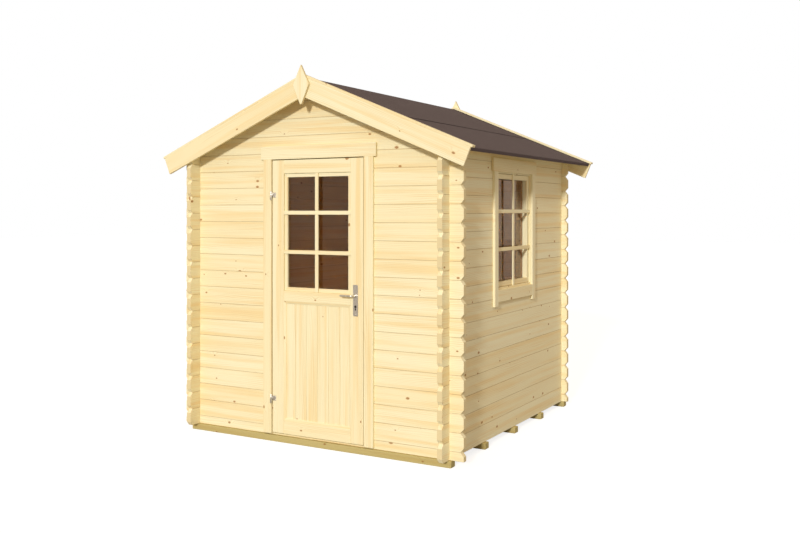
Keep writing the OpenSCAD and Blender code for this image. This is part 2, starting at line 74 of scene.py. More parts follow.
FLOOR_LOW, FLOOR_HIGH = box("floor_boards")
LEFT_LOW, LEFT_HIGH = box("left_logs_whole")
FRONT_LOW, FRONT_HIGH = box("front_logs_whole")
BACK_LOW, BACK_HIGH = box("back_logs_whole")
BETWEEN_LOW, BETWEEN_HIGH = box("left_logs_between")
BOARDS_LOW, BOARDS_HIGH = box("roof_boards_right")
PURLIN_LOW, PURLIN_HIGH = box("ridge_purlin")
JAMB_LOW, JAMB_HIGH = box("door_jambs")
HEAD_LOW, HEAD_HIGH = box("door_frame_head")
WINDOW_LOW, WINDOW_HIGH = box("window_frame")

SIDE_COURSES = 17
WALL_Z = FLOOR_LOW[2]
INNER_W, INNER_D = FLOOR_HIGH[0], FLOOR_HIGH[1]
LOG_T = LEFT_HIGH[0] - LEFT_LOW[0]
LOG_H = (BETWEEN_HIGH[2] - BETWEEN_LOW[2]) / (SIDE_COURSES - 2)
HALF_W, HALF_D = INNER_W + LOG_T, INNER_D + LOG_T
EAVE_Z = WALL_Z + SIDE_COURSES * LOG_H
RIDGE_Z = PURLIN_HIGH[2]
PITCH = math.atan((RIDGE_Z - EAVE_Z) / INNER_W)
ROOF_HALF_D = BOARDS_HIGH[1]
ROOF_BOARD_T = (BOARDS_HIGH[2] - RIDGE_Z) * math.cos(PITCH)
ROOF_LEN = (RIDGE_Z - BOARDS_LOW[2]) / math.sin(PITCH)
DOWN_RIGHT = np.array([math.cos(PITCH), 0, -math.sin(PITCH)])
OFF_RIGHT = np.array([math.sin(PITCH), 0, math.cos(PITCH)])
RIDGE = np.array([0, 0, RIDGE_Z])


def roof_height(x):
    """Height of the roof boards' underside at x: the ridge less the slope's drop."""
    return RIDGE_Z - np.abs(x) * math.tan(PITCH)


# ---------------------------------------------------------------- user's sizes and colours


class GardenHouseSizes(bpy.types.PropertyGroup):
    """Sizes of the finish that the frame leaves open."""

    log_bevel: FloatProperty(
        name="Log bevel", description="Radius of the bevel on a log's edges", default=0.0025, unit="LENGTH"
    )
    edge: FloatProperty(
        name="Board edge", description="Radius of the eased edges of boards", default=0.002, unit="LENGTH"
    )
    notch_low: FloatProperty(
        name="Lower end cut", description="Height of the cut under a log's end", default=0.024, unit="LENGTH"
    )
    notch_high: FloatProperty(
        name="Upper end cut", description="Height of the cut over a log's end", default=0.026, unit="LENGTH"
    )
    notch_deep: FloatProperty(
        name="End cut depth", description="Depth of the notch between log ends", default=0.021, unit="LENGTH"
    )
    roof_board: FloatProperty(
        name="Roof board", description="Face width of a roof board", default=0.0955, unit="LENGTH"
    )
    floor_board: FloatProperty(
        name="Floor board", description="Face width of a floor board", default=0.0878, unit="LENGTH"
    )
    panel_board: FloatProperty(
        name="Panel board", description="Face width of a board in the door's panel", default=0.088, unit="LENGTH"
    )
    bar: FloatProperty(name="Glazing bar", description="Width of a glazing bar", default=0.026, unit="LENGTH")
    bar_deep: FloatProperty(
        name="Glazing bar depth", description="Thickness of a glazing bar", default=0.0095, unit="LENGTH"
    )
    seed: IntProperty(name="Seed", description="Starting number of the boards' variation", default=7)


class GardenHouseColours(bpy.types.PropertyGroup):
    """Colours of the finish, in linear values."""

    pine: FloatVectorProperty(
        name="Pine", description="Pale wood between the rings", default=(0.945, 0.91, 0.655), subtype="COLOR"
    )
    pine_warm: FloatVectorProperty(
        name="Warm pine", description="Warmer boards and streaks", default=(0.925, 0.825, 0.52), subtype="COLOR"
    )
    pine_ring: FloatVectorProperty(
        name="Late wood", description="Darker line of each ring", default=(0.72, 0.48, 0.19), subtype="COLOR"
    )
    knot: FloatVectorProperty(
        name="Knot", description="Heart of a knot", default=(0.36, 0.16, 0.05), subtype="COLOR"
    )
    bearer: FloatVectorProperty(
        name="Bearer", description="Impregnated bearer wood", default=(0.60, 0.50, 0.22), subtype="COLOR"
    )
    bearer_ring: FloatVectorProperty(
        name="Bearer late wood", description="Darker lines of the bearers", default=(0.36, 0.31, 0.11), subtype="COLOR"
    )
    felt: FloatVectorProperty(
        name="Felt", description="Mineral face of the roofing felt", default=(0.105, 0.080, 0.084), subtype="COLOR"
    )
    steel: FloatVectorProperty(
        name="Steel", description="Satin ironwork", default=(0.86, 0.84, 0.79), subtype="COLOR"
    )


# ---------------------------------------------------------------- lofts


def rounded_sections(w_low, w_high, t_low, t_high, radius):
    """Sections of a bar: a rectangle whose corners are quarter circles.

    Each corner's centre lies one radius inside the corner, and its points are the centre plus
    the radius times (cos a, sin a). The limits are arrays with one value a station. Returns
    an array (stations, points, 2), counter-clockwise.
    """
    w_low, w_high, t_low, t_high, radius = np.broadcast_arrays(
        *(np.atleast_1d(np.asarray(v, float)) for v in (w_low, w_high, t_low, t_high, radius))
    )
    radius = np.minimum(radius, 0.49 * np.minimum(w_high - w_low, t_high - t_low))
    quarter = np.linspace(0, math.pi / 2, ARC_STEPS)
    angle = np.concatenate([quarter + k * math.pi / 2 for k in range(4)])
    right = np.repeat([1, 0, 0, 1], ARC_STEPS)
    top = np.repeat([1, 1, 0, 0], ARC_STEPS)
    r = radius[:, None]
    w = np.where(right, (w_high[:, None] - r), (w_low[:, None] + r)) + r * np.cos(angle)
    t = np.where(top, (t_high[:, None] - r), (t_low[:, None] + r)) + r * np.sin(angle)
    return np.stack([w, t], axis=2)


def carried(sections, stations, origin, along, width, seed, lean=0.0, skew=0.0):
    """A loft: sections carried along a straight line.

    A point is origin + s * along + w * width + t * (along x width). skew moves a station by
    that much for each metre of w, which cuts a mitre, and lean raises w with t, which cuts a
    bevel. Returns the points, the grain coordinates (s, w + t) and the section ones.
    """
    depth = np.cross(along, width)
    w, t = sections[:, :, 0], sections[:, :, 1]
    span = np.maximum(w.max(1, keepdims=True) - w.min(1, keepdims=True), 1e-6)
    w = w + np.asarray(lean) * t * (w - w.min(1, keepdims=True)) / span
    s = np.asarray(stations, float)[:, None] + np.broadcast_to(skew, len(stations))[:, None] * w
    points = (
        np.asarray(origin, float)
        + s[:, :, None] * along
        + w[:, :, None] * width
        + t[:, :, None] * depth
    )
    grain = np.stack([s, w + t], axis=2)
    section = np.stack([w, t, np.full_like(w, seed)], axis=2)
    return points, grain, section


def board(start, along, width, length, w, t, radius, seed, skew=(0.0, 0.0)):
    """A board from start along a direction: a rounded rectangle whose two ends are eased.

    w and t are its width and thickness about the line. The first and last stations are drawn
    in by the radius. skew gives the mitre at either end.
    """
    ease = min(radius, 0.2 * length)
    stations = np.array([0, ease, length - ease, length])
    inset = np.array([ease, 0, 0, ease])
    sections = rounded_sections(
        -w / 2 + inset, w / 2 - inset, -t / 2 + inset, t / 2 - inset, radius - 0.5 * inset
    )
    cut = np.array([skew[0], skew[0], skew[1], skew[1]])
    return carried(sections, stations, start, along, width, seed, skew=cut)


def between(low, high, axis, seed, radius):
    """A board that fills a box, with its grain along one axis."""
    low, high = np.asarray(low, float), np.asarray(high, float)
    size = high - low
    along = (X, Y, Z)[axis]
    width = (Y, Z, X)[axis] if size[(axis + 1) % 3] >= size[(axis + 2) % 3] else (Z, X, Y)[axis]
    depth = np.cross(along, width)
    middle = (low + high) / 2
    start = middle - along * size[axis] / 2
    w, t = abs(size @ width), abs(size @ depth)
    return board(start, along, width, size[axis], w, t, radius, seed)


def ring_faces(m, n, offset):
    """Quads of a closed tube of m rings with n points each, and its two end polygons."""
    i = np.arange(m - 1)[:, None] * n
    j = np.arange(n)[None, :]
    k = (j + 1) % n
    quads = np.stack([i + j, i + k, i + n + k, i + n + j], axis=2).reshape(-1, 4) + offset
    first = np.arange(n)[::-1] + offset
    last = np.arange(n) + (m - 1) * n + offset
    return quads, first, last


def piece(name, lofts, materials, body, replaces=(), smooth=None, jointed=False):
    """One mesh object from lofts, with its grain as a UV map and its sections as an attribute.

    Sides take the first material and end polygons the last. Where smooth is an angle, faces
    that meet at less are shaded as one surface. A jointed piece carries an attribute that is
    1 in the middle of each rounded edge and 0 elsewhere, which marks painted shade and dust in its
    joints.
    """
    points, grain, section, quads, ends, offset = [], [], [], [], [], 0
    for p, g, c in lofts:
        m, n = p.shape[:2]
        q, first, last = ring_faces(m, n, offset)
        quads.append(q)
        ends += [first, last]
        points.append(p.reshape(-1, 3))
        grain.append(g.reshape(-1, 2))
        section.append(c.reshape(-1, 3))
        offset += m * n
    points, grain, section = (np.concatenate(a) for a in (points, grain, section))
    quads = np.concatenate(quads)
    corners = np.concatenate([quads.ravel(), *ends]).astype(np.int32)
    totals = np.concatenate([np.full(len(quads), 4), [len(e) for e in ends]]).astype(np.int32)
    starts = np.concatenate([[0], np.cumsum(totals)[:-1]]).astype(np.int32)
    mesh = bpy.data.meshes.new(name)
    mesh.vertices.add(len(points))
    mesh.vertices.foreach_set("co", points.ravel().astype(np.float32))
    mesh.loops.add(len(corners))
    mesh.loops.foreach_set("vertex_index", corners)
    mesh.polygons.add(len(totals))
    mesh.polygons.foreach_set("loop_start", starts)
    for material in materials:
        mesh.materials.append(material)
    index = np.zeros(len(totals), np.int32)
    index[len(quads):] = len(materials) - 1
    mesh.polygons.foreach_set("material_index", index)
    mesh.update(calc_edges=True)
    uv = mesh.uv_layers.new(name="grain")
    uv.data.foreach_set("uv", grain[corners].ravel().astype(np.float32))
    attribute = mesh.attributes.new("section", "FLOAT_VECTOR", "POINT")
    attribute.data.foreach_set("vector", section.ravel().astype(np.float32))
    if jointed:
        # The middle point of each corner arc, where the joints get painted shade and dust
        joint_shade_mask = np.concatenate([
            np.tile(np.arange(p.shape[1]) % ARC_STEPS == ARC_STEPS // 2, p.shape[0]) for p, _, _ in lofts
        ])
        joint = mesh.attributes.new("joint", "FLOAT", "POINT")
        joint.data.foreach_set("value", joint_shade_mask.astype(np.float32))
    if smooth is None:
        mesh.shade_flat()
    else:
        mesh.polygons.foreach_set("use_smooth", np.ones(len(totals), bool))
        mesh.set_sharp_from_angle(angle=smooth)
    mesh.validate()
    made = bpy.data.objects.new(name, mesh)
    bpy.context.scene.collection.objects.link(made)
    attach(made, body)
    if replaces:
        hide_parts(*replaces)
    return made


def numbers(key):
    """A random generator of its own for each piece, from the user's seed and a key."""
    return np.random.default_rng([bpy.context.scene.garden_house_sizes.seed, key])


# ---------------------------------------------------------------- shader helpers


def add(tree, kind, settings=None, **values):
    """A shader node. Socket names use _ for spaces, and a value that is a socket is linked."""
    node = tree.nodes.new(kind)
    for key, value in (settings or {}).items():
        setattr(node, key, value)
    for key, value in values.items():
        socket = node.inputs[int(key[1:]) if key[1:].isdigit() else key.replace("_", " ")]
        if isinstance(value, bpy.types.NodeSocket):
            tree.links.new(value, socket)
        else:
            socket.default_value = value
    return node


def maths(tree, operation, a, b=0.0, c=0.0):
    """One arithmetic node and its result."""
    return add(tree, "ShaderNodeMath", {"operation": operation}, i0=a, i1=b, i2=c).outputs[0]


def ramp(tree, value, low, high, to_low=0.0, to_high=1.0, smooth=True):
    """value carried from low..high to to_low..to_high, and held at both ends."""
    kind = "SMOOTHSTEP" if smooth else "LINEAR"
    node = add(
        tree, "ShaderNodeMapRange", {"interpolation_type": kind},
        i0=value, i1=low, i2=high, i3=to_low, i4=to_high,
    )
    return node.outputs[0]


def blend(tree, factor, a, b, mode="MIX"):
    """Two colours mixed by a factor."""
    node = tree.nodes.new("ShaderNodeMix")
    node.data_type = "RGBA"
    node.blend_type = mode
    for index, value in ((0, factor), (6, a), (7, b)):
        if isinstance(value, bpy.types.NodeSocket):
            tree.links.new(value, node.inputs[index])
        elif index == 0:
            node.inputs[index].default_value = value
        else:
            node.inputs[index].default_value = (*value, 1.0)
    return node.outputs[2]


def vector(tree, x, y, z=0.0):
    """Three numbers as one vector."""
    return add(tree, "ShaderNodeCombineXYZ", i0=x, i1=y, i2=z).outputs[0]


def noise(tree, place, scale=1.0, detail=2.0, roughness=0.5):
    """Smooth noise around 0.5 at a place."""
    node = add(tree, "ShaderNodeTexNoise", Vector=place, Scale=scale, Detail=detail, Roughness=roughness)
    return node.outputs[0]


def new_group(name, inputs, outputs):
    """An empty shader node group with named number sockets, and its two end nodes."""
    tree = bpy.data.node_groups.new(name, "ShaderNodeTree")
    for label, default in inputs:
        tree.interface.new_socket(label, in_out="INPUT", socket_type="NodeSocketFloat").default_value = default
    for label in outputs:
        tree.interface.new_socket(label, in_out="OUTPUT", socket_type="NodeSocketFloat")
    return tree, tree.nodes.new("NodeGroupInput"), tree.nodes.new("NodeGroupOutput")


def new_material(name):
    """A material with its tree and its Principled shader."""
    material = bpy.data.materials.new(name)
    material.use_nodes = True
    tree = material.node_tree
    return material, tree, tree.nodes["Principled BSDF"]


def shade(tree, shader, colour, roughness, height=None, distance=0.0):
    """Connects a colour, a roughness and a bump to a Principled shader."""
    tree.links.new(colour, shader.inputs["Base Color"])
    if isinstance(roughness, bpy.types.NodeSocket):
        tree.links.new(roughness, shader.inputs["Roughness"])
    else:
        shader.inputs["Roughness"].default_value = roughness
    if height is not None:
        bump = add(tree, "ShaderNodeBump", Height=height, Distance=distance, Strength=1.0)
        tree.links.new(bump.outputs[0], shader.inputs["Normal"])


# ---------------------------------------------------------------- shared wood grain


def board_grain_group():
    """Grain of a sawn board from its length u, its width v and its seed.

    Rings are sin(2 pi (v + slow noise) / spacing), sharpened to thin late-wood lines that bend
    round the knots. Knots are the cells of a Voronoi pattern whose random number is over a
    limit, and their radius grows with it. Fibre is noise drawn out along u.
    """
    tree, given, result = new_group(
        "board_grain",
        [("Along", 0.0), ("Across", 0.0), ("Seed", 0.0), ("Spacing", 0.011), ("Knot Share", 0.3)],
        ["Ring", "Streak", "Knot", "Knot Rim", "Fibre", "Tone"],
    )
    along, across, seed, spacing, share = given.outputs[:5]
    u = maths(tree, "MULTIPLY_ADD", seed, 13.7, along)
    v = maths(tree, "MULTIPLY_ADD", seed, 5.3, across)
    cells = add(
        tree, "ShaderNodeTexVoronoi", {"voronoi_dimensions": "2D"},
        Vector=vector(tree, maths(tree, "MULTIPLY", u, 5.5), maths(tree, "MULTIPLY", v, 9.0)),
        Scale=1.0, Randomness=0.9,
    )
    chance = add(tree, "ShaderNodeSeparateColor", i0=cells.outputs["Color"]).outputs[0]
    limit = maths(tree, "SUBTRACT", 1.0, share)
    there = maths(tree, "GREATER_THAN", chance, limit)
    radius = ramp(tree, chance, limit, 1.0, 0.025, 0.085, smooth=False)
    wobble = maths(tree, "MULTIPLY_ADD", noise(tree, vector(tree, u, v, seed), 90.0), 0.03, -0.015)
    distance = maths(tree, "ADD", cells.outputs["Distance"], wobble)
    inner = maths(tree, "MULTIPLY", radius, 0.72)
    knot = maths(tree, "MULTIPLY", ramp(tree, distance, inner, radius, 1.0, 0.0), there)
    outer = maths(tree, "MULTIPLY", radius, 1.35)
    rim = maths(tree, "MULTIPLY", ramp(tree, distance, radius, outer, 1.0, 0.0), there)
    bend = ramp(tree, distance, radius, maths(tree, "ADD", radius, 0.25), 1.0, 0.0)
    bend = maths(tree, "MULTIPLY", bend, there)
    slow = noise(tree, vector(tree, maths(tree, "MULTIPLY", u, 0.9), maths(tree, "MULTIPLY", v, 7.0), seed), 1.0, 3.0)
    phase = maths(tree, "MULTIPLY_ADD", slow, 0.085, v)
    phase = maths(tree, "MULTIPLY_ADD", bend, 0.016, phase)
    turns = maths(tree, "DIVIDE", phase, spacing)
    wave = maths(tree, "SINE", maths(tree, "MULTIPLY", turns, WHOLE_TURN))
    line = maths(tree, "POWER", maths(tree, "MULTIPLY_ADD", wave, 0.5, 0.5), 4.0)
    patch = noise(tree, vector(tree, maths(tree, "MULTIPLY", u, 1.6), maths(tree, "MULTIPLY", v, 16.0), seed), 1.0, 2.0)
    ring = maths(tree, "MULTIPLY", line, ramp(tree, patch, 0.35, 0.7, 0.25, 1.0))
    streak = noise(tree, vector(tree, maths(tree, "MULTIPLY", u, 0.8), maths(tree, "MULTIPLY", v, 26.0), seed), 1.0, 3.0)
    fibre = noise(tree, vector(tree, maths(tree, "MULTIPLY", u, 14.0), maths(tree, "MULTIPLY", v, 700.0), seed), 1.0, 2.0)
    tone = add(tree, "ShaderNodeTexWhiteNoise", {"noise_dimensions": "1D"}, W=seed).outputs[0]
    for index, value in enumerate((ring, ramp(tree, streak, 0.42, 0.72), knot, rim, fibre, tone)):
        tree.links.new(value, result.inputs[index])
    return tree


def end_grain_group():
    """Rings on a cut end: sin(2 pi r / spacing), where r is the distance from a random pith."""
    tree, given, result = new_group(
        "end_grain", [("Width", 0.0), ("Depth", 0.0), ("Seed", 0.0), ("Spacing", 0.004)], ["Ring", "Pore", "Crack"]
    )
    width, depth, seed, spacing = given.outputs[:4]
    random = add(tree, "ShaderNodeTexWhiteNoise", {"noise_dimensions": "1D"}, W=seed)
    part = add(tree, "ShaderNodeSeparateColor", i0=random.outputs[1])
    x = maths(tree, "ADD", width, ramp(tree, part.outputs[0], 0.0, 1.0, -0.05, 0.05, smooth=False))
    y = maths(tree, "ADD", depth, ramp(tree, part.outputs[1], 0.0, 1.0, 0.01, 0.06, smooth=False))
    wobble = noise(tree, vector(tree, width, depth, seed), 30.0)
    reach = maths(tree, "SQRT", maths(tree, "ADD", maths(tree, "MULTIPLY", x, x), maths(tree, "MULTIPLY", y, y)))
    turns = maths(tree, "DIVIDE", maths(tree, "MULTIPLY_ADD", wobble, 0.006, reach), spacing)
    wave = maths(tree, "SINE", maths(tree, "MULTIPLY", turns, WHOLE_TURN))
    ring = maths(tree, "POWER", maths(tree, "MULTIPLY_ADD", wave, 0.5, 0.5), 3.0)
    pore = noise(tree, vector(tree, width, depth, seed), 900.0, 1.0)
    angle = maths(tree, "ARCTAN2", y, x)
    ray = noise(tree, vector(tree, maths(tree, "MULTIPLY", angle, 60.0), reach, seed), 1.0, 2.0)
    for index, value in enumerate((ring, pore, ramp(tree, ray, 0.66, 0.74))):
        tree.links.new(value, result.inputs[index])
    return tree


def grain_nodes(tree, group, spacing, share, sides):
    """Places a wood group in a material and feeds it from the UV map and the section attribute."""
    section = add(tree, "ShaderNodeAttribute", {"attribute_name": "section"})
    section = add(tree, "ShaderNodeSeparateXYZ", i0=section.outputs["Vector"])
    node = tree.nodes.new("ShaderNodeGroup")
    node.node_tree = group
    if sides:
        uv = add(tree, "ShaderNodeUVMap", {"uv_map": "grain"})
        uv = add(tree, "ShaderNodeSeparateXYZ", i0=uv.outputs[0])
        feeds = (uv.outputs[0], uv.outputs[1], section.outputs[2])
        node.inputs["Knot Share"].default_value = share
    else:
        feeds = (section.outputs[0], section.outputs[1], section.outputs[2])
    for index, value in enumerate(feeds):
        tree.links.new(value, node.inputs[index])
    node.inputs["Spacing"].default_value = spacing
    return node


def wood_side(name, pale, warm, late, knot_colour, spacing, share, strength, roughness):
    """Planed or sawn board faces, from the shared grain."""
    material, tree, shader = new_material(name)
    grain = grain_nodes(tree, bpy.data.node_groups["board_grain"], spacing, share, True)
    ring, streak, knot, rim, fibre, tone = grain.outputs[:6]
    colour = blend(tree, ramp(tree, tone, 0.0, 1.0, 0.0, 0.75, smooth=False), pale, warm)
    resin = tuple(a * b for a, b in zip(warm, (0.97, 0.84, 0.66)))
    colour = blend(tree, maths(tree, "MULTIPLY", streak, 0.7), colour, resin)
    colour = blend(tree, maths(tree, "MULTIPLY", ring, strength), colour, late)
    fine = ramp(tree, fibre, 0.3, 0.75, 0.0, 0.10, smooth=False)
    colour = blend(tree, fine, colour, late)
    colour = blend(tree, maths(tree, "MULTIPLY", rim, 0.42), colour, late)
    colour = blend(tree, maths(tree, "MULTIPLY", knot, 0.8), colour, knot_colour)
    # Painted shade and dust: the middle of each rounded edge darkens toward the late wood, where logs and boards meet
    joint = add(tree, "ShaderNodeAttribute", {"attribute_name": "joint"}).outputs["Fac"]
    colour = blend(tree, maths(tree, "MULTIPLY", joint, 0.75), colour, tuple(0.6 * v for v in late))
    height = maths(tree, "MULTIPLY_ADD", ring, 0.6, fibre)
    rough = ramp(tree, ring, 0.0, 1.0, roughness, roughness - 0.12, smooth=False)
    shade(tree, shader, colour, rough, height, 0.00025)
    shader.inputs["Specular IOR Level"].default_value = 0.3
    return material


def wood_end(name, warm, late, spacing):
    """Cut ends of boards, with their rings, pores and fine drying cracks."""
    material, tree, shader = new_material(name)
    grain = grain_nodes(tree, bpy.data.node_groups["end_grain"], spacing, 0.0, False)
    ring, pore, crack = grain.outputs[:3]
    colour = blend(tree, maths(tree, "MULTIPLY", ring, 0.45), warm, late)
    colour = blend(tree, ramp(tree, pore, 0.35, 0.7, 0.0, 0.22), colour, late)
    colour = blend(tree, maths(tree, "MULTIPLY", crack, 0.35), colour, late)
    shade(tree, shader, colour, 0.8, pore, 0.0003)
    shader.inputs["Specular IOR Level"].default_value = 0.2
    return material


def felt_material(colour):
    """Roofing felt: mineral grains of mixed tone on bitumen, with slow patches and creases."""
    material, tree, shader = new_material("roofing_felt")
    place = add(tree, "ShaderNodeTexCoord").outputs["Object"]
    grains = add(tree, "ShaderNodeTexVoronoi", Vector=place, Scale=650.0)
    tint = add(tree, "ShaderNodeSeparateColor", i0=grains.outputs["Color"]).outputs[0]
    patch = noise(tree, place, 3.0, 4.0)
    shadow = tuple(0.55 * c for c in colour)
    light = tuple(1.5 * c + 0.01 for c in colour)
    result = blend(tree, ramp(tree, tint, 0.0, 1.0, 0.0, 1.0, smooth=False), shadow, light)
    result = blend(tree, ramp(tree, patch, 0.3, 0.7, 0.15, 0.75), result, colour)
    height = maths(tree, "MULTIPLY_ADD", noise(tree, place, 5.0, 2.0), 6.0, grains.outputs["Distance"])
    shade(tree, shader, result, 0.92, height, 0.0006)
    shader.inputs["Specular IOR Level"].default_value = 0.25
    return material


def felt_edge_material(colour):
    """Cut and folded edges of the felt: bare bitumen with a few grains."""
    material, tree, shader = new_material("felt_edge")
    place = add(tree, "ShaderNodeTexCoord").outputs["Object"]
    speck = noise(tree, place, 500.0, 2.0)
    dark = tuple(0.12 * c for c in colour)
    middle = tuple(0.45 * c for c in colour)
    shade(tree, shader, blend(tree, ramp(tree, speck, 0.45, 0.7), dark, middle), 0.7, speck, 0.0004)
    return material


def steel_material(colour):
    """Satin metal with brushing along the length and faint handling marks."""
    material, tree, shader = new_material("satin_steel")
    place = add(tree, "ShaderNodeTexCoord").outputs["Object"]
    part = add(tree, "ShaderNodeSeparateXYZ", i0=place)
    brushed = noise(
        tree,
        vector(
            tree, maths(tree, "MULTIPLY", part.outputs[0], 1800.0), maths(tree, "MULTIPLY", part.outputs[1], 1800.0),
            maths(tree, "MULTIPLY", part.outputs[2], 40.0),
        ),
        1.0, 2.0,
    )
    marks = noise(tree, place, 60.0, 3.0)
    dull = tuple(0.78 * c for c in colour)
    tint = blend(tree, ramp(tree, marks, 0.35, 0.75), colour, dull)
    rough = maths(tree, "MULTIPLY_ADD", brushed, 0.16, 0.28)
    shade(tree, shader, tint, rough, brushed, 0.00003)
    shader.inputs["Metallic"].default_value = 1.0
    return material


def keyhole_shade_material():
    """Keyholes: thin dark sheets on the lock plates, painted shade of a hole that is not cut, with specks of dust."""
    material, tree, shader = new_material("keyhole_painted_shade")
    place = add(tree, "ShaderNodeTexCoord").outputs["Object"]
    dust = noise(tree, place, 900.0, 2.0)
    shade(tree, shader, blend(tree, dust, (0.02, 0.02, 0.02), (0.07, 0.065, 0.06)), 0.6, dust, 0.0001)
    shader.inputs["Metallic"].default_value = 0.5
    return material


def glass_material():
    """Float glass that lets the lamps' rays through, with a faint film of dust. Its brown tint is painted shade of the
    dim room seen through it.
    """
    material, tree, shader = new_material("window_glass_shade_tinted")
    place = add(tree, "ShaderNodeTexCoord").outputs["Object"]
    film = ramp(tree, noise(tree, place, 7.0, 4.0), 0.35, 0.8, 0.0, 0.03, smooth=False)
    tree.links.new(film, shader.inputs["Roughness"])
    # Painted shade: this brown tint darkens and browns the room seen through the panes
    shader.inputs["Base Color"].default_value = (0.79, 0.54, 0.39, 1.0)
    shader.inputs["Specular IOR Level"].default_value = 0.12
    shader.inputs["Transmission Weight"].default_value = 1.0
    shader.inputs["IOR"].default_value = 1.45
    clear = add(tree, "ShaderNodeBsdfTransparent", Color=(0.74, 0.62, 0.54, 1.0))
    path = tree.nodes.new("ShaderNodeLightPath")
    mix = tree.nodes.new("ShaderNodeMixShader")
    tree.links.new(path.outputs["Is Shadow Ray"], mix.inputs[0])
    tree.links.new(shader.outputs[0], mix.inputs[1])
    tree.links.new(clear.outputs[0], mix.inputs[2])
    tree.links.new(mix.outputs[0], tree.nodes["Material Output"].inputs["Surface"])
    return material


def make_materials():
    """Builds the shared grain groups and every material once."""
    c = bpy.context.scene.garden_house_colours
    pale, warm, late, knot = (tuple(v) for v in (c.pine, c.pine_warm, c.pine_ring, c.knot))
    bearer, bearer_ring = tuple(c.bearer), tuple(c.bearer_ring)
    board_grain_group()
    end_grain_group()
    wood_side("pine_face", pale, warm, late, knot, 0.0105, 0.24, 0.42, 0.62)
    wood_end("pine_end", tuple(0.86 * v for v in warm), late, 0.0045)
    bearer_warm = tuple(0.88 * v for v in bearer)
    wood_side("bearer_face", bearer, bearer_warm, bearer_ring, knot, 0.009, 0.25, 0.55, 0.8)
    wood_end("bearer_end", bearer_warm, bearer_ring, 0.004)
    felt_material(tuple(c.felt))
    felt_edge_material(tuple(c.felt))
    steel_material(tuple(c.steel))
    keyhole_shade_material()
    glass_material()


def finish_of(name):
    """A material by name, made on first use."""
    if "pine_face" not in bpy.data.materials:
        make_materials()
    return bpy.data.materials[name]


def pine():
    """Face and end materials of the planed pine."""
    return [finish_of("pine_face"), finish_of("pine_end")]


# ---------------------------------------------------------------- logs


def log_rows(start, end, low, high, notched, foot):
    """Stations of one log as rows (s, w low, w high): an end is cut back where it is notched."""
    sizes = bpy.context.scene.garden_house_sizes
    deep = sizes.notch_deep
    under = 0.0 if foot else sizes.notch_low
    rows = []
    for s, side, cut in ((start, 1, notched[0]), (end, -1, notched[1])):
        if cut:
            tip = [(s, low + under, high - sizes.notch_high), (s + side * deep, low, high)]
        else:
            tip = [(s, low, high)]
        rows += tip if side > 0 else tip[::-1]
    half = len(rows) - (2 if notched[1] else 1)
    return rows[:half], rows[half:]


def crossing(a, low, high, quarter, foot, top):
    """Rows of the quarter-deep notches where another log crosses from a to a + its thickness."""
    inner_low = low if foot else low + quarter
    inner_high = high if top else high - quarter
    return [(a, low, high), (a, inner_low, inner_high), (a + LOG_T, inner_low, inner_high), (a + LOG_T, low, high)]


def log_loft(rows, origin, along, seed, lean=0.0):
    """A log: its rows carried along the wall, with bevelled long edges."""
    bevel = bpy.context.scene.garden_house_sizes.log_bevel
    table = np.array(rows, float)
    sections = rounded_sections(table[:, 1], table[:, 2], -LOG_T / 2, LOG_T / 2, bevel)
    return carried(sections, table[:, 0], origin, along, Z, seed, lean=lean)


def under_slope(rows, low, high):
    """Rows of a gable log held under the roof: cut ends, and the apex where it reaches it."""
    table = np.array(rows, float)
    slim = 0.002
    reach = (RIDGE_Z - low - slim) / math.tan(PITCH)
    knee = (RIDGE_Z - high) / math.tan(PITCH)
    extra = [s for s in (-reach, -knee, 0.0, knee, reach) if abs(s) <= reach + 1e-6]
    extra = [s for s in extra if table[0, 0] < s < table[-1, 0] or abs(abs(s) - reach) < 1e-6]
    kept = table[np.abs(table[:, 0]) <= reach + 1e-6]
    added = np.array([(s, low, high) for s in extra]).reshape(-1, 3)
    limit_l, limit_r = max(-reach, table[0, 0]), min(reach, table[-1, 0])
    added = added[(added[:, 0] >= limit_l - 1e-6) & (added[:, 0] <= limit_r + 1e-6)]
    table = np.concatenate([kept, added])
    table = table[np.argsort(table[:, 0], kind="stable")]
    table[:, 2] = np.minimum(table[:, 2], roof_height(table[:, 0]))
    return table


def gable_wall(name, y, end, opening, nodes, key):
    """All logs of the front or back wall, split beside an opening (left, right, top)."""
    random = numbers(key)
    quarter = LOG_H / 4
    lofts = []
    last = math.ceil((RIDGE_Z - WALL_Z) / LOG_H - 0.75)
    for k in range(last + 1):
        low = WALL_Z if k == 0 else WALL_Z + LOG_H * (k - 0.5)
        high = RIDGE_Z if k == last else WALL_Z + LOG_H * (k + 0.5)
        out = HALF_W + end
        spans = [(-out, out, (True, True))]
        if opening is not None and high <= opening[2] + 1e-4:
            spans = [(-out, opening[0], (True, False)), (opening[1], out, (False, True))]
        for start, stop, notched in spans:
            first, final = log_rows(start, stop, low, high, notched, k == 0)
            rows = list(first)
            for a in (-HALF_W, INNER_W):
                if start < a < stop and low < EAVE_Z - LOG_H / 2:
                    rows += crossing(a, low, high, quarter, k == 0, False)
            if k == last:
                side = (PURLIN_HIGH[0] - PURLIN_LOW[0]) / 2
                foot = PURLIN_LOW[2]
                rows += [(-side, low, high), (-side, low, foot), (side, low, foot), (side, low, high)]
            rows += list(final)
            if high > roof_height(out):
                rows = under_slope(rows, low, high)
            middle = [0, y + random.normal(0, 0.0003), 0]
            lofts.append(log_loft(rows, middle, X, random.uniform(0, 50)))
    return piece(name, lofts, pine(), "root", nodes, jointed=True)


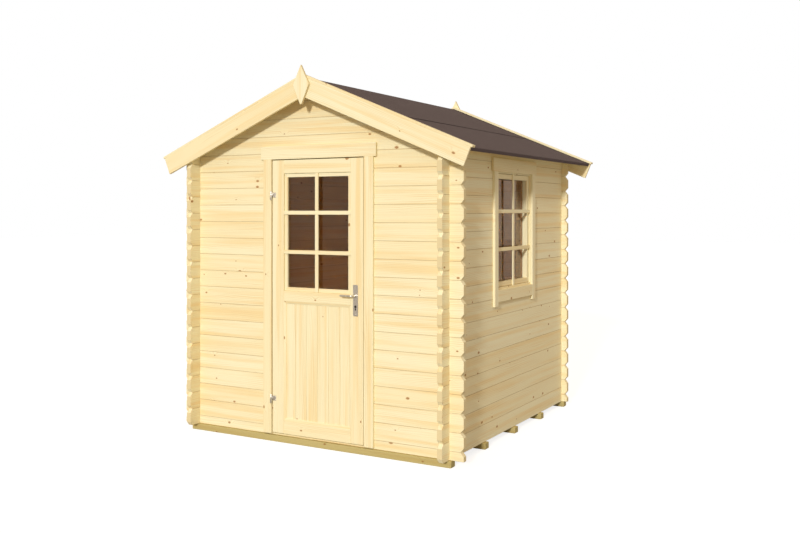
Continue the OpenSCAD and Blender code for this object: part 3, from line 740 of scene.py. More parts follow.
def side_wall(name, x, window, nodes, key):
    """All logs of a side wall, split beside a window (front, back, bottom, top)."""
    random = numbers(key)
    quarter = LOG_H / 4
    start, stop = LEFT_LOW[1], LEFT_HIGH[1]
    lofts = []
    for j in range(SIDE_COURSES):
        low = WALL_Z + LOG_H * j
        high = low + LOG_H
        crossings = [crossing(a, low, high, quarter, False, False) for a in (-HALF_D, INNER_D)]
        first, final = log_rows(start, stop, low, high, (True, True), False)
        parts = [first + crossings[0] + crossings[1] + final]
        if window is not None and low < window[3] and high > window[2]:
            a, b, foot, head = window
            if low >= foot - 1e-4 and high <= head + 1e-4:
                parts = [
                    first + crossings[0] + [(a, low, high)],
                    [(b, low, high)] + crossings[1] + final,
                ]
            else:
                inner = (low, foot) if low < foot else (head, high)
                gap = [(a, low, high), (a, *inner), (b, *inner), (b, low, high)]
                parts = [first + crossings[0] + gap + crossings[1] + final]
        lean = 0.0
        if j == SIDE_COURSES - 1:
            slope = math.tan(PITCH)
            drop = LOG_T / 2 * slope
            parts = [
                np.column_stack([np.array(p)[:, :2], np.minimum(np.array(p)[:, 2], EAVE_Z - drop)]) for p in parts
            ]
            lean = -slope if x > 0 else slope
        for rows in parts:
            middle = [x + random.normal(0, 0.0003), 0, 0]
            lofts.append(log_loft(rows, middle, Y, random.uniform(0, 50), lean))
    return piece(name, lofts, pine(), "root", nodes, jointed=True)


class GARDENHOUSE_OT_log_walls(bpy.types.Operator):
    """Build the four walls of interlocked logs"""

    bl_idname = "garden_house.log_walls"
    bl_label = "Log walls"

    def execute(self, context):
        door = (JAMB_LOW[0], JAMB_HIGH[0], HEAD_HIGH[2])
        window = (WINDOW_LOW[1], WINDOW_HIGH[1], WINDOW_LOW[2], WINDOW_HIGH[2])
        middle_y, middle_x = HALF_D - LOG_T / 2, HALF_W - LOG_T / 2
        gable_wall(
            "front_wall", -middle_y, FRONT_HIGH[0] - HALF_W, door, ("front_logs_whole", "front_logs_between"), 1
        )
        gable_wall("back_wall", middle_y, BACK_HIGH[0] - HALF_W, None, ("back_logs_whole", "back_logs_between"), 2)
        side_wall("left_wall", -middle_x, None, ("left_logs_whole", "left_logs_between"), 3)
        side_wall("right_wall", middle_x, window, ("right_logs_whole", "right_logs_between"), 4)
        return {"FINISHED"}


# ---------------------------------------------------------------- foundation and floor


def filled(name, node, axis, body="root", radius=None, materials=None, key=9):
    """A single board that fills a node's box, with its grain along an axis."""
    radius = bpy.context.scene.garden_house_sizes.edge if radius is None else radius
    loft = between(*box(node), axis, numbers(key).uniform(0, 50), radius)
    return piece(name, [loft], materials or pine(), body, (node,))


def boards_across(low, high, axis, across, face, gap, seed, radius):
    """Boards laid side by side: equal widths nearest the wanted face, with a gap between."""
    low, high = np.asarray(low, float), np.asarray(high, float)
    count = max(1, round((high[across] - low[across]) / (face + gap)))
    pitch = (high[across] - low[across]) / count
    lofts = []
    for i in range(count):
        a, b = low.copy(), high.copy()
        a[across] = low[across] + i * pitch + (gap / 2 if i else 0)
        b[across] = low[across] + (i + 1) * pitch - (gap / 2 if i < count - 1 else 0)
        lofts.append(between(a, b, axis, seed + 3.1 * i, radius))
    return lofts


class GARDENHOUSE_OT_base(bpy.types.Operator):
    """Build the bearers under the house, its floor boards and the door's sill"""

    bl_idname = "garden_house.base"
    bl_label = "Bearers and floor"

    def execute(self, context):
        sizes = context.scene.garden_house_sizes
        low, high = box("foundation_beams")
        count = 5
        width = 0.058
        middles = np.linspace(low[1] + width / 2, high[1] - width / 2, count)
        random = numbers(5)
        lofts = [
            between((low[0], y - width / 2, low[2]), (high[0], y + width / 2, high[2]), 0, random.uniform(0, 50), 0.003)
            for y in middles
        ]
        bearer = [finish_of("bearer_face"), finish_of("bearer_end")]
        piece("bearers", lofts, bearer, "root", ("foundation_beams",))
        lofts = boards_across(FLOOR_LOW, FLOOR_HIGH, 0, 1, sizes.floor_board, 0.001, 11.0, sizes.edge)
        piece("floor", lofts, pine(), "root", ("floor_boards",), jointed=True)
        filled("sill", "threshold", 0, key=6)
        return {"FINISHED"}


# ---------------------------------------------------------------- roof


def slope_frame(side):
    """Directions down a slope and off it, for the right (1) or the left (-1) side."""
    down = np.array([side * DOWN_RIGHT[0], 0, DOWN_RIGHT[2]])
    off = np.array([side * OFF_RIGHT[0], 0, OFF_RIGHT[2]])
    return down, off


def roof_planks(name, side, node, key):
    """Boards of one slope, ridge to eave along the grain, with V joints on the underside.

    A plank's section is a rounded rectangle in (y, off the slope), carried down the slope.
    The ridge ends are cut upright: skew moves the end by tan(pitch) for each metre off.
    """
    random = numbers(key)
    sizes = bpy.context.scene.garden_house_sizes
    down, off = slope_frame(side)
    count = round(2 * ROOF_HALF_D / sizes.roof_board)
    pitch = 2 * ROOF_HALF_D / count
    lean = math.tan(PITCH)
    lofts = []
    for i in range(count):
        y = -ROOF_HALF_D + (i + 0.5) * pitch
        w = pitch - 0.0006
        sections = rounded_sections(-w / 2, w / 2, 0.0, ROOF_BOARD_T, 0.0025)
        sections = np.repeat(sections, 3, axis=0)
        stations = np.array([0.0, 0.5 * ROOF_LEN, ROOF_LEN - random.uniform(0, 0.0006)])
        wide = Y * side
        loft = list(carried(sections, stations, RIDGE + y * Y, down, wide, random.uniform(0, 50)))
        depth = np.cross(down, wide)
        if depth @ off < 0:
            raise RuntimeError("the roof planks would lie inside the room")
        t = sections[0, :, 1]
        loft[0][0] -= (t * lean)[:, None] * down * 1.0
        lofts.append(tuple(loft))
    return piece(name, lofts, pine(), "root", (node,), jointed=True)


class GARDENHOUSE_OT_roof_boards(bpy.types.Operator):
    """Build the boarded slopes and the beam under the ridge"""

    bl_idname = "garden_house.roof_boards"
    bl_label = "Roof boards and ridge beam"

    def execute(self, context):
        roof_planks("roof_planks_right", 1, "roof_boards_right", 21)
        roof_planks("roof_planks_left", -1, "roof_boards_left", 22)
        low, high = PURLIN_LOW, PURLIN_HIGH
        sections = np.array([
            [[low[0], low[2]], [high[0], low[2]], [high[0], roof_height(high[0])], [0, high[2]],
             [low[0], roof_height(low[0])]]
        ])
        sections = np.repeat(sections, 2, axis=0)
        loft = carried(sections, [0, high[1] - low[1]], (0, high[1], 0), -Y, X, 17.0)
        piece("ridge_beam", [loft], pine(), "root", ("ridge_purlin",))
        return {"FINISHED"}


# Inner radius of the felt's fold over the eaves
FELT_FOLD = 0.0003


def felt_sheet(side, top, bottom, low, high, turn, seed, sag=0.0012):
    """One course of felt on a slope as a closed sheet: a grid of (slope length, y).

    Its top surface sinks toward the boards by up to sag in slow waves, which fade out at the
    gable edges, so it isn't dead flat. turn folds the lower edge down over the boards' ends by that
    length. Returns the grids of points of the sheet's top and under surfaces.
    """
    down, off = slope_frame(side)
    random = numbers(seed)
    along = np.linspace(top, bottom, 60)
    fold = np.linspace(0, 1, 5)[1:]
    y = np.linspace(-ROOF_HALF_D, ROOF_HALF_D, 160)
    s, yy = np.meshgrid(along, y, indexing="ij")
    phase = random.uniform(0, WHOLE_TURN, 4)
    wave = 0.25 * (
        np.sin(2.1 * yy + 3.0 * s + phase[0]) + np.sin(5.3 * yy - 4.1 * s + phase[1])
        + np.sin(11.0 * yy + 2.0 * s + phase[2]) + np.sin(9.0 * s + 1.5 * yy + phase[3])
    )
    edge = np.clip((ROOF_HALF_D - np.abs(yy)) / 0.05, 0, 1)
    lift = -sag * (0.5 + 0.5 * wave) * edge
    tops = RIDGE + s[..., None] * down + yy[..., None] * Y + (high + lift)[..., None] * off
    unders = RIDGE + s[..., None] * down + yy[..., None] * Y + np.full_like(s, low)[..., None] * off
    if turn:
        reach = high - low
        angle = fold * math.pi / 2
        corner = RIDGE + bottom * down + low * off
        arc = corner + reach * (np.sin(angle)[:, None] * down + np.cos(angle)[:, None] * off)
        drop = arc[-1] - turn * off
        outer = np.concatenate([arc, [drop]])
        bend = corner + FELT_FOLD * (np.sin(angle)[:, None] * down + np.cos(angle)[:, None] * off)
        inner = np.concatenate([bend, [drop - reach * down]])
        tops = np.concatenate([tops, outer[:, None, :] + y[None, :, None] * Y])
        unders = np.concatenate([unders, inner[:, None, :] + y[None, :, None] * Y])
    return tops, unders


def sheet_piece(name, tops, unders, materials, node, flip):
    """A closed sheet from its outer and inner grids, joined round the rim by a strip of quads."""
    m, n = tops.shape[:2]
    points = np.concatenate([tops.reshape(-1, 3), unders.reshape(-1, 3)])
    i, j = np.meshgrid(np.arange(m - 1), np.arange(n - 1), indexing="ij")
    a = (i * n + j).ravel()
    upper = np.stack([a, a + n, a + n + 1, a + 1], 1)
    lower = upper[:, ::-1] + m * n
    rim = np.concatenate([
        np.arange(n - 1), np.arange(m - 1) * n + n - 1, (m - 1) * n + np.arange(n - 1, 0, -1),
        np.arange(m - 1, 0, -1) * n,
    ])
    after = np.roll(rim, -1)
    edge = np.stack([rim, after, after + m * n, rim + m * n], 1)
    quads = np.concatenate([upper, lower, edge])
    if flip:
        quads = quads[:, ::-1]
    mesh = bpy.data.meshes.new(name)
    mesh.from_pydata(points, [], quads)
    index = np.zeros(len(quads), np.int32)
    index[len(upper) + len(lower):] = 1
    for material in materials:
        mesh.materials.append(material)
    mesh.polygons.foreach_set("material_index", index)
    mesh.polygons.foreach_set("use_smooth", np.ones(len(quads), bool))
    mesh.set_sharp_from_angle(angle=math.radians(40))
    mesh.update()
    mesh.validate()
    made = bpy.data.objects.new(name, mesh)
    bpy.context.scene.collection.objects.link(made)
    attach(made, "root")
    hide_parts(node)
    return made


class GARDENHOUSE_OT_felt(bpy.types.Operator):
    """Lay the courses of roofing felt, eave courses first and the ridge course over them"""

    bl_idname = "garden_house.felt"
    bl_label = "Roofing felt"

    def execute(self, context):
        felt = [finish_of("roofing_felt"), finish_of("felt_edge")]
        ridge_low, ridge_high = box("felt_ridge")
        thick = (ridge_high[2] - BOARDS_HIGH[2]) * math.cos(PITCH)
        eave_low = box("felt_eave_right")[0]
        foot = RIDGE + ROOF_LEN * DOWN_RIGHT + ROOF_BOARD_T * OFF_RIGHT
        turn = (foot[2] - eave_low[2]) / math.cos(PITCH) - thick * math.tan(PITCH) * 0.0
        turn = min(turn, 0.021)
        seam = ridge_high[0] / math.cos(PITCH) - (ROOF_BOARD_T + 2 * thick) * math.tan(PITCH)
        for side, name, node in ((1, "felt_course_right", "felt_eave_right"), (-1, "felt_course_left", "felt_eave_left")):
            start = box(node)
            top = start[0][0] if side > 0 else -start[1][0]
            top = top / math.cos(PITCH) - ROOF_BOARD_T * math.tan(PITCH)
            tops, unders = felt_sheet(
                side, top, ROOF_LEN, ROOF_BOARD_T, ROOF_BOARD_T + thick, turn, 30 + side
            )
            sheet_piece(name, tops, unders, felt, node, side < 0)
        halves = []
        for side in (-1, 1):
            down, off = slope_frame(side)
            tops, unders = felt_sheet(side, 0.0, seam, ROOF_BOARD_T, ROOF_BOARD_T + thick, 0.0, 40)
            s = np.linspace(0.0, seam, 60)[:, None, None]
            over = np.where(s > 0.64, thick, 0.0)
            ease = np.clip((s - 0.615) / 0.025, 0, 1) * thick
            del over
            tops = tops + ease * off
            unders = unders + ease * off
            apex_top = RIDGE_Z + (ROOF_BOARD_T + thick) / math.cos(PITCH)
            apex_under = RIDGE_Z + ROOF_BOARD_T / math.cos(PITCH)
            tops[0, :, 0] = unders[0, :, 0] = 0.0
            tops[0, :, 2], unders[0, :, 2] = apex_top, apex_under
            halves.append((tops, unders))
        tops = np.concatenate([halves[0][0][::-1], halves[1][0][1:]])
        unders = np.concatenate([halves[0][1][::-1], halves[1][1][1:]])
        sheet_piece("felt_course_ridge", tops, unders, felt, "felt_ridge", False)
        return {"FINISHED"}


def verge_boards(name, side, v_low, v_high, thick, length, inset, node, key):
    """Boards that follow the slope at both gables, cut plumb at the ridge.

    v_low and v_high are their edges, measured off the roof boards' underside.
    """
    random = numbers(key)
    down, off = slope_frame(side)
    slope = math.tan(PITCH)
    low, high = box(node)
    lofts = []
    for end in (-1, 1):
        y_low, y_high = (low[1], low[1] + thick) if end < 0 else (high[1] - thick, high[1])
        middle = (y_low + y_high) / 2
        radius = 0.002
        ease = radius
        stations = np.array([0.0, length - ease, length])
        inset = np.array([0.0, 0.0, ease])
        depth = (v_high - v_low)
        sections = rounded_sections(
            -depth / 2 + inset, depth / 2 - inset, -thick / 2 + inset, thick / 2 - inset, radius - 0.5 * inset
        )
        centre = RIDGE + middle * Y + (v_low + v_high) / 2 * off
        points, grain, section = carried(
            sections, stations, centre, down, off if side > 0 else off, random.uniform(0, 50)
        )
        rise = (sections[0, :, 0] + (v_low + v_high) / 2) * slope
        points[0] -= rise[:, None] * down
        lofts.append((points, grain, section))
    return piece(name, lofts, pine(), "root", (node,))


def tablet(outline, y_low, y_high, seed, radius):
    """A flat piece from an outline (x, z) with eased faces: the outline drawn in by the radius.

    Points move along the mean of the two edge normals at each corner.
    """
    outline = np.asarray(outline, float)
    ahead = np.roll(outline, -1, 0) - outline
    behind = outline - np.roll(outline, 1, 0)
    normal = []
    for edge in (behind, ahead):
        unit = edge / np.linalg.norm(edge, axis=1, keepdims=True)
        normal.append(np.stack([unit[:, 1], -unit[:, 0]], 1))
    mean = normal[0] + normal[1]
    mean /= (mean * normal[0]).sum(1, keepdims=True)
    rows = [(y_low, radius), (y_low + radius, 0.0), (y_high - radius, 0.0), (y_high, radius)]
    points = np.array([
        np.stack([(outline - r * mean)[:, 0], np.full(len(outline), y), (outline - r * mean)[:, 1]], 1) for y, r in rows
    ])
    grain = np.stack([points[..., 2], points[..., 0] + points[..., 1]], axis=2)
    section = np.stack([points[..., 0], points[..., 2], np.full(points.shape[:2], seed)], axis=2)
    return points[::-1], grain[::-1], section[::-1]


class GARDENHOUSE_OT_verges(bpy.types.Operator):
    """Build the barge boards, the capping strips over them and the diamond finials"""

    bl_idname = "garden_house.verges"
    bl_label = "Verges and finials"

    def execute(self, context):
        for side, word in ((1, "right"), (-1, "left")):
            node = f"barge_boards_{word}"
            thick = box(node)[1][1] - ROOF_HALF_D
            reach = (box(node)[1][0] if side > 0 else -box(node)[0][0])
            high = (box(node)[1][2] - RIDGE_Z) * math.cos(PITCH)
            length = (reach - high * math.sin(PITCH)) / math.cos(PITCH)
            low = high - 0.121
            verge_boards(f"barge_{word}", side, low, high, thick, length, 0.0, node, 50 + side)
            node = f"verge_caps_{word}"
            reach = (box(node)[1][0] if side > 0 else -box(node)[0][0])
            top = (box(node)[1][2] - RIDGE_Z) * math.cos(PITCH)
            length = (reach - top * math.sin(PITCH)) / math.cos(PITCH)
            verge_boards(f"verge_cap_{word}", side, high, top, 0.040, length, 0.0, node, 55 + side)
        low, high = box("finials")
        thick = high[1] - box("barge_boards_right")[1][1]
        half, foot, tall = high[0], 0.006, 2 * high[0]
        outline = [(foot, low[2]), (half, high[2] - tall), (0, high[2]), (-half, high[2] - tall), (-foot, low[2])]
        lofts = [
            tablet(outline, low[1], low[1] + thick, 4.0, 0.0015),
            tablet(outline, high[1] - thick, high[1], 9.0, 0.0015),
        ]
        piece("finial_boards", lofts, pine()[::-1], "root", ("finials",))
        return {"FINISHED"}


# ---------------------------------------------------------------- frames, casings, window


def pair_of_boards(name, node, axis, across, thick, body="root", key=60, radius=None):
    """Two equal boards at either side of a node's box, with their grain along an axis."""
    low, high = box(node)
    radius = bpy.context.scene.garden_house_sizes.edge if radius is None else radius
    random = numbers(key)
    first, second = high.copy(), low.copy()
    first[across] = low[across] + thick
    second[across] = high[across] - thick
    lofts = [
        between(low, first, axis, random.uniform(0, 50), radius),
        between(second, high, axis, random.uniform(0, 50), radius),
    ]
    return piece(name, lofts, pine(), body, (node,))


def mitred_ring(low, high, axis, wide, radius, seed, profile=None):
    """Four bars round a rectangle, mitred at 45 degrees.

    low and high are the outer box, and axis is the one it faces. Each bar is a rounded
    rectangle, or a given profile of (in from the outer edge, depth) points, carried along its
    side. The mitre moves a point's station by its distance in from the edge.
    """
    low, high = np.asarray(low, float), np.asarray(high, float)
    flat = [k for k in range(3) if k != axis]
    p, q = flat
    lofts = []
    if profile is None:
        deep = high[axis] - low[axis]
        profile = rounded_sections(0.0, wide, low[axis], high[axis], min(radius, 0.4 * deep))[0]
    axes = (X, Y, Z)
    middle = (low + high) / 2
    for k, (along, inward, length, reach) in enumerate((
        (axes[p], axes[q], high[p] - low[p], (high[q] - low[q]) / 2),
        (-axes[p], -axes[q], high[p] - low[p], (high[q] - low[q]) / 2),
        (axes[q], -axes[p], high[q] - low[q], (high[p] - low[p]) / 2),
        (-axes[q], axes[p], high[q] - low[q], (high[p] - low[p]) / 2),
    )):
        corner = middle - along * length / 2 - inward * reach
        corner = corner * (1 - axes[axis])
        w, t = profile[:, 0], profile[:, 1]
        s = np.stack([w, length - w])
        points = corner + s[..., None] * along + w[:, None] * inward + t[:, None] * axes[axis]
        grain = np.stack([s, np.broadcast_to(w + t, s.shape)], axis=2)
        section = np.stack([np.broadcast_to(v, s.shape) for v in (w, t, np.full_like(w, seed + 3.7 * k))], axis=2)
        turn = np.cross(along, inward) @ axes[axis]
        if turn < 0:
            points, grain, section = points[::-1], grain[::-1], section[::-1]
        lofts.append((points, grain, section))
    return lofts


def bars(name, low, high, face_axis, along_axis, places, middle, body, key):
    """Glazing bars on a light: level ones at the given places and one upright."""
    sizes = bpy.context.scene.garden_house_sizes
    random = numbers(key)
    half = sizes.bar / 2
    lofts = []
    for place in places:
        a, b = np.array(low, float), np.array(high, float)
        a[2], b[2] = place - half, place + half
        lofts.append(between(a, b, along_axis, random.uniform(0, 50), 0.0025))
    cuts = [low[2], *[v for place in sorted(places) for v in (place - half, place + half)], high[2]]
    for k in range(0, len(cuts), 2):
        a, b = np.array(low, float), np.array(high, float)
        a[along_axis], b[along_axis] = middle - half, middle + half
        a[2], b[2] = cuts[k], cuts[k + 1]
        lofts.append(between(a, b, 2, random.uniform(0, 50), 0.0025))
    del face_axis
    return piece(name, lofts, pine(), body)


class GARDENHOUSE_OT_door_frame(bpy.types.Operator):
    """Build the door's jambs, head, stops and casings"""

    bl_idname = "garden_house.door_frame"
    bl_label = "Door frame and casings"

    def execute(self, context):
        stile = box("door_stiles")
        pair_of_boards("jambs", "door_jambs", 2, 0, 0.030, key=61)
        filled("frame_head", "door_frame_head", 0, key=62)
        pair_of_boards("casings", "door_casings", 2, 0, 0.068, key=63)
        filled("head_board", "door_head_board", 0, key=64)
        low, high = box("door_stops")
        lofts = mitred_ring(low, high, 1, 0.018, 0.002, 66.0)
        kept = [loft for k, loft in enumerate(lofts) if k != 0]
        for k, loft in enumerate(kept):
            foot = loft[0][..., 2] < low[2] + 0.03
            if k > 0:
                loft[0][..., 2] = np.where(foot, low[2], loft[0][..., 2])
        del stile
        piece("stops", kept, pine(), "root", ("door_stops",))
        return {"FINISHED"}


class GARDENHOUSE_OT_window(bpy.types.Operator):
    """Build the side window: frame, sash, bars, panes, casings, head board and apron"""

    bl_idname = "garden_house.window"
    bl_label = "Side window"

    def execute(self, context):
        low, high = WINDOW_LOW, WINDOW_HIGH
        piece("window_lining", mitred_ring(low, high, 0, 0.024, 0.002, 70.0), pine(), "root", ("window_frame",))
        low, high = box("window_sash")
        glass_low, glass_high = box("window_glass")
        rail = 0.036
        front = low.copy()
        front[0] = glass_high[0]
        play = 0.002 * (Y + Z)
        lofts = mitred_ring(front + play, high - play, 0, rail - 0.002, 0.003, 72.0)
        bead_low, bead_high = low + rail * (Y + Z), high - rail * (Y + Z)
        bead_low = bead_low - 0.001 * (Y + Z)
        bead_high = bead_high + 0.001 * (Y + Z)
        bead_high[0] = glass_low[0]
        lofts += mitred_ring(bead_low, bead_high, 0, 0.010, 0.002, 75.0)
        piece("sash", lofts, pine(), "root", ("window_sash",))
        sizes = context.scene.garden_house_sizes
        face_low, face_high = low.copy(), high.copy()
        face_low[0], face_high[0] = high[0], high[0] + sizes.bar_deep
        third = (high[2] - low[2]) / 3
        places = (low[2] + third, low[2] + 2 * third)
        bars("window_bars", face_low, face_high, 0, 1, places, (low[1] + high[1]) / 2, "root", 76)
        loft = between(glass_low, glass_high, 2, 1.0, 0.0006)
        piece("window_pane", [loft], [finish_of("window_glass_shade_tinted")], "root", ("window_glass",))
        pair_of_boards("window_side_boards", "window_casings", 2, 1, 0.057, key=77)
        filled("window_top_board", "window_head_board", 1, key=78)
        filled("window_bottom_board", "window_apron", 1, key=79)
        return {"FINISHED"}


# ---------------------------------------------------------------- door leaf


class GARDENHOUSE_OT_door_leaf(bpy.types.Operator):
    """Build the half-glazed door: stiles, rails, boarded panel, mouldings, bars and glass"""

    bl_idname = "garden_house.door_leaf"
    bl_label = "Door leaf"

    def execute(self, context):
        sizes = context.scene.garden_house_sizes
        random = numbers(80)
        pair_of_boards("leaf_stiles", "door_stiles", 2, 0, 0.094, "door", key=81, radius=0.003)
        low, high = box("door_rails")
        panel_low, panel_high = box("door_panel")
        glass_low, glass_high = box("door_glass")
        lofts = []
        for a, b in ((low[2], panel_low[2]), (panel_high[2], glass_low[2]), (glass_high[2], high[2])):
            rail_low, rail_high = low.copy(), high.copy()
            rail_low[2], rail_high[2] = a, b
            lofts.append(between(rail_low, rail_high, 0, random.uniform(0, 50), 0.003))
        piece("leaf_rails", lofts, pine(), "door", ("door_rails",))
        lofts = boards_across(panel_low, panel_high, 2, 0, sizes.panel_board, 0.0008, 83.0, 0.003)
        face, front = panel_low[1], low[1]
        chamfer = 0.015
        profile = np.array([
            [0.0, front + 0.002], [0.003, front + 0.002], [chamfer, face - 0.003], [chamfer, face], [0.0, face]
        ])
        outer_low, outer_high = panel_low.copy(), panel_high.copy()
        lofts += mitred_ring(outer_low, outer_high, 1, chamfer, 0.002, 86.0, profile)
        piece("leaf_panel", lofts, pine(), "door", ("door_panel",))
        glazing_low, glazing_high = box("door_glazing")
        rim_low, rim_high = glass_low.copy(), glass_high.copy()
        rim_low[1], rim_high[1] = glazing_low[1], glass_low[1]
        lofts = mitred_ring(rim_low, rim_high, 1, 0.025, 0.003, 88.0)
        bead_low, bead_high = glass_low.copy(), glass_high.copy()
        bead_low[1], bead_high[1] = glass_high[1], glazing_high[1]
        lofts += mitred_ring(bead_low, bead_high, 1, 0.015, 0.002, 90.0)
        piece("leaf_glazing_rim", lofts, pine(), "door", ("door_glazing",))
        face_low, face_high = glass_low.copy(), glass_high.copy()
        face_low[1], face_high[1] = glazing_low[1] - sizes.bar_deep, glazing_low[1]
        third = (glass_high[2] - glass_low[2]) / 3
        places = (glass_low[2] + third, glass_low[2] + 2 * third)
        bars("leaf_bars", face_low, face_high, 1, 0, places, (glass_low[0] + glass_high[0]) / 2, "door", 91)
        loft = between(glass_low, glass_high, 2, 1.0, 0.0006)
        piece("leaf_pane", [loft], [finish_of("window_glass_shade_tinted")], "door", ("door_glass",))
        return {"FINISHED"}


# ---------------------------------------------------------------- ironwork


def lathe(profile, centre, axis, seed, steps=40):
    """A turned piece: (radius, height) points turned round an axis through a centre.

    A point is centre + h * axis + r * (cos a * u + sin a * v), with u and v square to the axis.
    """
    profile = np.asarray(profile, float)
    axis = np.asarray(axis, float)
    u = np.cross(axis, X if abs(axis[0]) < 0.9 else Y)
    u /= np.linalg.norm(u)
    v = np.cross(axis, u)
    angle = np.linspace(0, WHOLE_TURN, steps, endpoint=False)
    circle = np.cos(angle)[:, None] * u + np.sin(angle)[:, None] * v
    points = np.asarray(centre, float) + profile[:, 1, None, None] * axis + profile[:, 0, None, None] * circle
    grain = np.stack(np.broadcast_arrays(profile[:, 1, None], 0.02 * angle[None, :]), axis=2)
    section = np.zeros_like(points) + seed
    return points, grain, section


def swept(path, radius, steps=24):
    """A rod: circles of the given radii carried along a smooth path in one plane."""
    path, radius = np.asarray(path, float), np.asarray(radius, float)
    tangent = np.gradient(path, axis=0)
    tangent /= np.linalg.norm(tangent, axis=1, keepdims=True)
    normal = np.cross(tangent, Z)
    normal /= np.linalg.norm(normal, axis=1, keepdims=True)
    other = np.cross(tangent, normal)
    angle = np.linspace(0, WHOLE_TURN, steps, endpoint=False)
    ring = np.cos(angle)[None, :, None] * normal[:, None] + np.sin(angle)[None, :, None] * other[:, None]
    points = path[:, None] + radius[:, None, None] * ring
    grain = np.zeros(points.shape[:2] + (2,))
    return points, grain, np.zeros_like(points)


def screw(x, y, z, face, size=0.0035):
    """A countersunk screw head on a face, as a low dome with a cross-shaped hollow left plain."""
    rows = [(size, 0.0), (size, 0.0003), (0.8 * size, 0.0008), (0.35 * size, 0.0010), (0.3 * size, 0.0004)]
    return lathe(rows, (x, y, z), face, 3.0, 20)


# Sizes of the ironwork that the boxes of its pieces don't give
KNUCKLE_RADIUS = 0.006
KNUCKLE_GAP = 0.0003
HINGE_TALL = 0.060
HINGE_PLATE_WIDE = 0.032
HINGE_PLATE_TALL = 0.033
HINGE_PLATE_THICK = 0.0025
SCREW_INSET = 0.008
LEVER_RADIUS = 0.0063
LEVER_BEND = 0.018
SPINDLE_RADIUS = 0.0045


